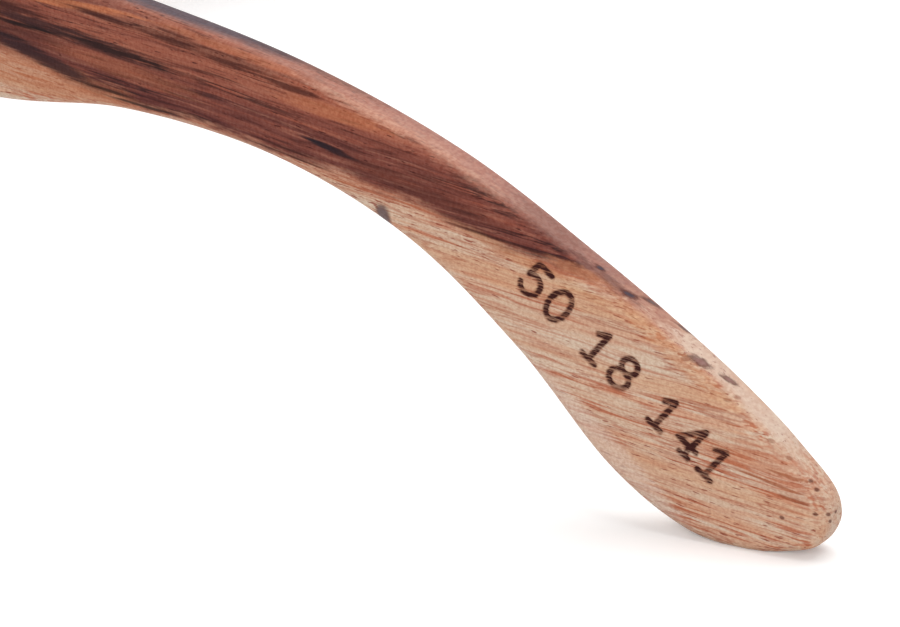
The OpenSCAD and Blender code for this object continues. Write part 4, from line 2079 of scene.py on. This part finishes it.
    def end_block(self, side: Side, hinge: Hinge) -> Piece:
        """Make one end block: a wedge between the front and the temple.

        Args:
            side: The block's side.
            hinge: The hinge whose leaf is let into the block.

        Returns:
            The block with the hinge's pocket.
        """
        low, high = (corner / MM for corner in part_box("left_end_block"))
        outline = rounded_rectangle((low.x, low.z), (high.x, high.z), self.block_corner)
        depth = high.y - low.y
        points, faces = Plate(outline, depth, [], *self.block_rounds, self.block_spacing).mesh()
        glue = self.back_face(points[:, 0]) + self.block_glue
        points[:, 1] = glue + points[:, 1] / depth * (high.y - glue)
        piece = mesh_piece(f"{side.word}_end_block_wood", points, faces)
        combine(piece, [hinge.block_pocket()], "DIFFERENCE")
        to_side(piece, side)
        return piece

    def build(self, shop: Workshop, hinges: dict[Side, Hinge]) -> None:
        """Make the front's pieces and hand them over.

        Args:
            shop: The shared finishes and trees.
            hinges: The hinge of each side.
        """
        soft, tight = self.edge_round, self.glued_round
        groove = self.lens_tuck + self.lens_room
        plies = [
            ("outer", self.wrap_r, self.outer_t, 0, (soft, tight), Slot.FRONT, 200.0, 9.0),
            ("core", self.core_r, self.core_t, groove, (tight, tight), Slot.CORE, 420.0, 0.0),
            ("inner", self.inner_r, self.inner_t, 0, (tight, soft), Slot.FRONT, 640.0, 6.0),
        ]
        for word, radius, thickness, grow, rounds, slot, seed, sapwood in plies:
            piece = self.ply(shop, f"{word}_ply_wood", radius, thickness, grow, rounds)
            self.lay_board(piece, seed, sapwood)
            shop.hand_over(piece, "front", f"front_{word}_ply", slot)
        for side in Side:
            shift = self.plank_step * side.value
            shop.hand_over(self.lens(shop, side), "front", f"{side.word}_lens", Slot.LENS)
            pad = self.nose_pad(side)
            self.lay_board(pad, self.pad_plank + shift, 0.0)
            shop.hand_over(pad, "front", f"{side.word}_nose_pad", Slot.FRONT)
            block = self.end_block(side, hinges[side])
            self.lay_board(block, self.block_plank + shift, self.block_sapwood)
            shop.hand_over(block, "front", f"{side.word}_end_block", Slot.FRONT)


# The studio


@dataclass(frozen=True)
class Lamp:
    """A soft square lamp that faces the object, in degrees, millimetres and watts."""

    name: str
    azimuth: float
    elevation: float
    away: float
    size: float
    power: float


@dataclass
class Studio:
    """White table, soft light and the camera, which looks at a point before the left temple's tip."""

    out_x: float
    tip_y: float
    before_tip: float = 31.8
    look_height: float = 15.8
    azimuth: float = 125
    elevation: float = 21.4
    distance: float = 243
    lens: float = 120
    sensor: float = 36
    clip: Pair = (0.01, 20)
    ambient: float = 0.36
    floor_size: float = 3000
    lamps: tuple[Lamp, ...] = (
        Lamp("key", 262, 78, 700, 750, 4.25),
        Lamp("side fill", 122, 24, 800, 600, 2.5),
        Lamp("front fill", 20, 25, 800, 600, 1.0),
    )

    def direction(self, azimuth: float, elevation: float) -> Vector:
        """Point from the object towards a viewer.

        Args:
            azimuth: Angle round the object in degrees, from 0 in front of it.
            elevation: Angle above the table in degrees.

        Returns:
            The direction, one long.
        """
        turn, rise = math.radians(azimuth), math.radians(elevation)
        level = math.cos(rise)
        return Vector((math.sin(turn) * level, -math.cos(turn) * level, math.sin(rise)))

    def camera(self) -> None:
        """Set the camera."""
        data = bpy.data.cameras.new("camera")
        data.lens = self.lens
        data.sensor_width = self.sensor
        data.clip_start, data.clip_end = self.clip
        camera = add_object("camera", data)
        way = self.direction(self.azimuth, self.elevation)
        target = Vector((self.out_x, self.tip_y - self.before_tip, self.look_height))
        camera.location = (target + self.distance * way) * MM
        camera.rotation_euler = way.to_track_quat("Z", "Y").to_euler()
        bpy.context.scene.camera = camera

    def light(self, lamp: Lamp) -> None:
        """Set one lamp.

        Args:
            lamp: The lamp; its azimuth is that of a viewer.
        """
        data = bpy.data.lights.new(lamp.name, "AREA")
        data.size = lamp.size * MM
        data.energy = lamp.power
        way = self.direction(lamp.azimuth, lamp.elevation)
        light = add_object(lamp.name, data)
        light.location = way * lamp.away * MM
        light.rotation_euler = way.to_track_quat("Z", "Y").to_euler()

    def world(self) -> None:
        """Light the scene evenly from all round, with a white background."""
        world = bpy.data.worlds.new("white room")
        bpy.context.scene.world = world
        world.use_nodes = True
        bench = NodeBench(world.node_tree)
        sky = world.node_tree.nodes["Background"]
        sky.inputs["Color"].default_value = (1, 1, 1, 1)
        strength = bench.span(seen_rays(bench), 0, 1, self.ambient, 1)
        bench.tree.links.new(strength, sky.inputs["Strength"])

    def floor(self) -> None:
        """Lay the white table."""
        half = self.floor_size / 2
        corners = np.array([(-half, -half, 0), (half, -half, 0), (half, half, 0), (-half, half, 0)])
        floor = mesh_piece("table", corners, [(0, 1, 2, 3)])
        floor.data.materials.append(PaperFinish("white paper").build())

    def build(self) -> None:
        """Set the table, the light and the camera."""
        bpy.context.scene.view_settings.view_transform = "Standard"
        self.camera()
        self.world()
        self.floor()
        for lamp in self.lamps:
            self.light(lamp)


# The left temple's own streaks and knots, placed on its board by the distance from the tip; a few of
# them are painted highlight, reflection or shade, as marked.
BROWN = (68, 34, 30)
INK = (17, 9, 13)
SLATE = (52, 31, 33)
BLUE_INK = (26, 24, 32)
ORANGE = (186, 112, 78)
TAN = (178, 114, 82)
RUST = (140, 82, 58)
GOLD = (200, 150, 112)
PEACH = (204, 154, 132)
PALE = (214, 190, 174)
DOT = (100, 56, 46)
RIM = (88, 48, 44)
GREY = (112, 94, 93)
PLUM = (150, 112, 106)
BLUE_GREY = (70, 67, 78)
TEMPLE_STREAKS = (
    Streak((-78, 19.4, 0), (18, 2.2, 3), TAN, 0.6),
    Streak((-72, 26.9, 0), (9, 0.45, 3), ORANGE, 0.9, (0, 0.09, 0)),
    Streak((-54, 27.2, 0.4), (10, 0.4, 3), ORANGE, 0.35, (0, -0.05, 0)),
    Streak((-66, 22.6, 0), (10, 1, 3), ORANGE, 0.25, (0, -0.03, 0)),
    Streak((-43.5, 24.85, 0), (7, 0.8, 3), ORANGE, 0.5),
    Streak((-78, 25.1, 0), (4, 0.35, 3), BROWN, 0.9, (0, -0.04, 0)),
    Streak((-60, 26.6, 0), (19, 0.5, 3), BROWN, 0.45, (0, -0.025, 0)),
    *[Streak((along, across, 0), (half, 0.35, 3), BROWN, 0.8, (0, -0.04, 0), 3)
      for along, across, half in ((-68, 26.7, 4), (-61, 26.5, 4), (-54, 26, 3), (-48.3, 25.8, 4))],
    # Painted highlight, on sanded fibres: a peach line along the neck's upper ridge.
    Streak((-41, 25.72, 0.75), (8, 0.5, 0.8), PEACH, 0.5, (0, -0.19, 0.02), 3),
    Streak((-20.8, 18.1, 0.4), (3, 0.6, 1), TAN, 0.6, (0, -0.2, 0.2)),
    Streak((-82, 24, 0), (12, 3, 3), BROWN, 0.6, (0, -0.04, 0)),
    Streak((-70, 24.1, 0), (14, 0.8, 3), SLATE, 0.8, (0, -0.035, 0)),
    Streak((-67, 24, 0), (9, 0.4, 3), INK, 0.75, (0, -0.035, 0), 3.2),
    Streak((-76.5, 23.8, 0), (6, 0.26, 3), INK, 0.9),
    Streak((-79.5, 22.4, 0), (3, 0.18, 3), INK, 0.95),
    Streak((-75.5, 21.4, 0), (8, 0.9, 3), SLATE, 0.9, (0, -0.18, 0)),
    Streak((-67.5, 20.25, 0), (3.5, 0.18, 3), INK, 0.8),
    Streak((-63.6, 19.85, 0), (5, 0.2, 3), INK, 0.8, (0, 0.03, 0)),
    Streak((-44.2, 21.75, 0), (3.4, 0.36, 3), BLUE_INK, 0.95, (0, -0.1, 0)),
    Streak((-48.6, 20.4, 0), (4, 0.13, 3), BROWN, 0.9, (0, -0.03, 0), 2.6),
    Streak((-47.8, 19.85, 0), (5, 0.12, 3), BROWN, 0.9, (0, -0.03, 0), 2.6),
    # Painted shade: a dark blue-grey band along the far top edge, which lies in shade.
    Streak((-61, 28.5, 3.1), (18, 1.8, 2.3), BLUE_GREY, 0.85, (0, -0.04, 0.02), 0.8),
    Streak((-47, 27.4, 3.3), (10, 1.6, 1.3), SLATE, 0.35, (0, -0.13, -0.02)),
    Streak((-24.3, 20.4, 2), (4.5, 1.6, 2.4), BROWN, 0.22, (0, -0.48, 0)),
    Streak((-29, 18.75, 0), (6, 0.18, 3), BROWN, 0.85),
    Streak((-36, 20.7, 0), (10, 0.9, 3), BROWN, 0.45, (0, -0.1, 0)),
    Streak((-13, 14.2, 0.2), (8, 1.2, 0.9), GOLD, 0.4, (0, -0.6, 0)),
    Streak((-19, 17.9, 1.5), (3.6, 0.5, 0.7), RIM, 0.5, (0, -0.5, 0.05)),
    Streak((-24, 17.3, 0), (9, 0.7, 3), GOLD, 0.4, (0, -0.2, 0)),
    Streak((-2.3, 4.8, 0), (1.6, 0.2, 3), DOT, 0.55, (0, -0.05, 0), 3),
    Streak((-4.6, 5.7, 0), (3.6, 0.16, 3), RUST, 0.85, (0, -0.08, 0), 3),
    Streak((-3, 6.6, 0), (2, 0.16, 3), RUST, 0.8, (0, -0.08, 0), 3),
    Streak((-4.2, 6.6, 0), (4.5, 2.4, 3), ORANGE, 0.35, (0, -0.1, 0)),
    # Painted reflection of the white table: a pale band along the paddle's lower rounded edge.
    Streak((-18.5, 4.3, 0), (9, 2, 3), PALE, 0.55, (0, -0.68, 0)),
    *[Streak((-38.7, 17.4, 0), (share * 0.95, share * 1.3, 2), colour, 0.9, ragged=0.5)
      for share, colour in ((1, RIM), (0.8, GREY))],
    *[Streak(middle, tuple(share * side for side in half), tone, 0.8, (0, -0.48, 0.4), 1.8)
      for middle, half, core in (
          ((-19.9, 18.55, 1.9), (0.6, 0.5, 0.4), BLUE_GREY),
          ((-17.2, 17.2, 1.65), (0.8, 0.5, 0.6), BLUE_GREY),
          ((-16, 16.85, 2.85), (1, 0.4, 0.5), GREY),
          ((-13.2, 15.3, 3.2), (1, 0.4, 0.35), GREY),
          ((-10.9, 13.64, 1.2), (1, 0.7, 0.7), PLUM),
          ((-8.9, 12.65, 2.05), (0.8, 0.5, 0.5), PLUM))
      for share, tone in ((1, RIM), (0.55, core))],
    *[Streak(middle, (0.4, 0.22, 0.4), RUST, 0.6, ragged=1.4)
      for middle in ((-11.8, 13.6, 0.5), (-8.2, 11.3, 0.5), (-7.8, 11.6, 1.2), (-4.7, 9, 0.7),
                     (-3.2, 8, 0.9))],
    *[Streak(middle, (0.25, 0.2, 0.3), DOT, 0.85, ragged=0.8)
      for middle in ((-1.5, 6.6, 1), (-1, 6, 1), (0.1, 3.6, 1.2), (0.1, 4.3, 2), (-3.2, 3, 0),
                     (0, 4.2, 1), (-0.7, 4.1, 0.3))],
)
# The right temple is sawn so far along the plank that the left one's streaks don't reach it.
RIGHT_BOARD = -400


def workshop(front: Front) -> Workshop:
    """Make the shared finishes and trees.

    Args:
        front: The front, whose lenses set the tint's span.

    Returns:
        The workshop.
    """
    half = front.lens_h / 2
    finishes = {
        Slot.TEMPLE: WoodFinish("two-tone rosewood", sanded_sheen_share=0.4, streaks=TEMPLE_STREAKS),
        Slot.FRONT: WoodFinish("front rosewood"),
        Slot.CORE: WoodFinish("dark core veneer", ((0, (54, 32, 28)), (9, (80, 50, 42))),
                              heart_glow=(96, 60, 48), heart_line=(44, 26, 24)),
        Slot.HINGE: SteelFinish("hinge steel"),
        Slot.SCREW: SteelFinish("screw steel", (186, 187, 189), (128, 128, 131), 0.18, 0.34),
        Slot.LENS: LensFinish("smoke lens", front.lens_z - half, front.lens_z + half),
    }
    made = {slot: finish.build() for slot, finish in finishes.items()}
    return Workshop(made, wrap_tree(), row_tree())


def main() -> None:
    """Build the sunglasses and the studio."""
    logging.basicConfig(level=logging.INFO)
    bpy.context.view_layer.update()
    front = Front()
    shop = workshop(front)
    hinges = {side: Hinge(side, shop) for side in Side}
    front.build(shop, hinges)
    for side in Side:
        hinges[side].build()
    left = Temple(Side.LEFT, mark=SizeMark())
    left.build(shop, hinges[Side.LEFT])
    Temple(Side.RIGHT, board_shift=RIGHT_BOARD).build(shop, hinges[Side.RIGHT])
    Studio(left.out_x, left.tip_y).build()


if __name__ == "__main__":
    main()
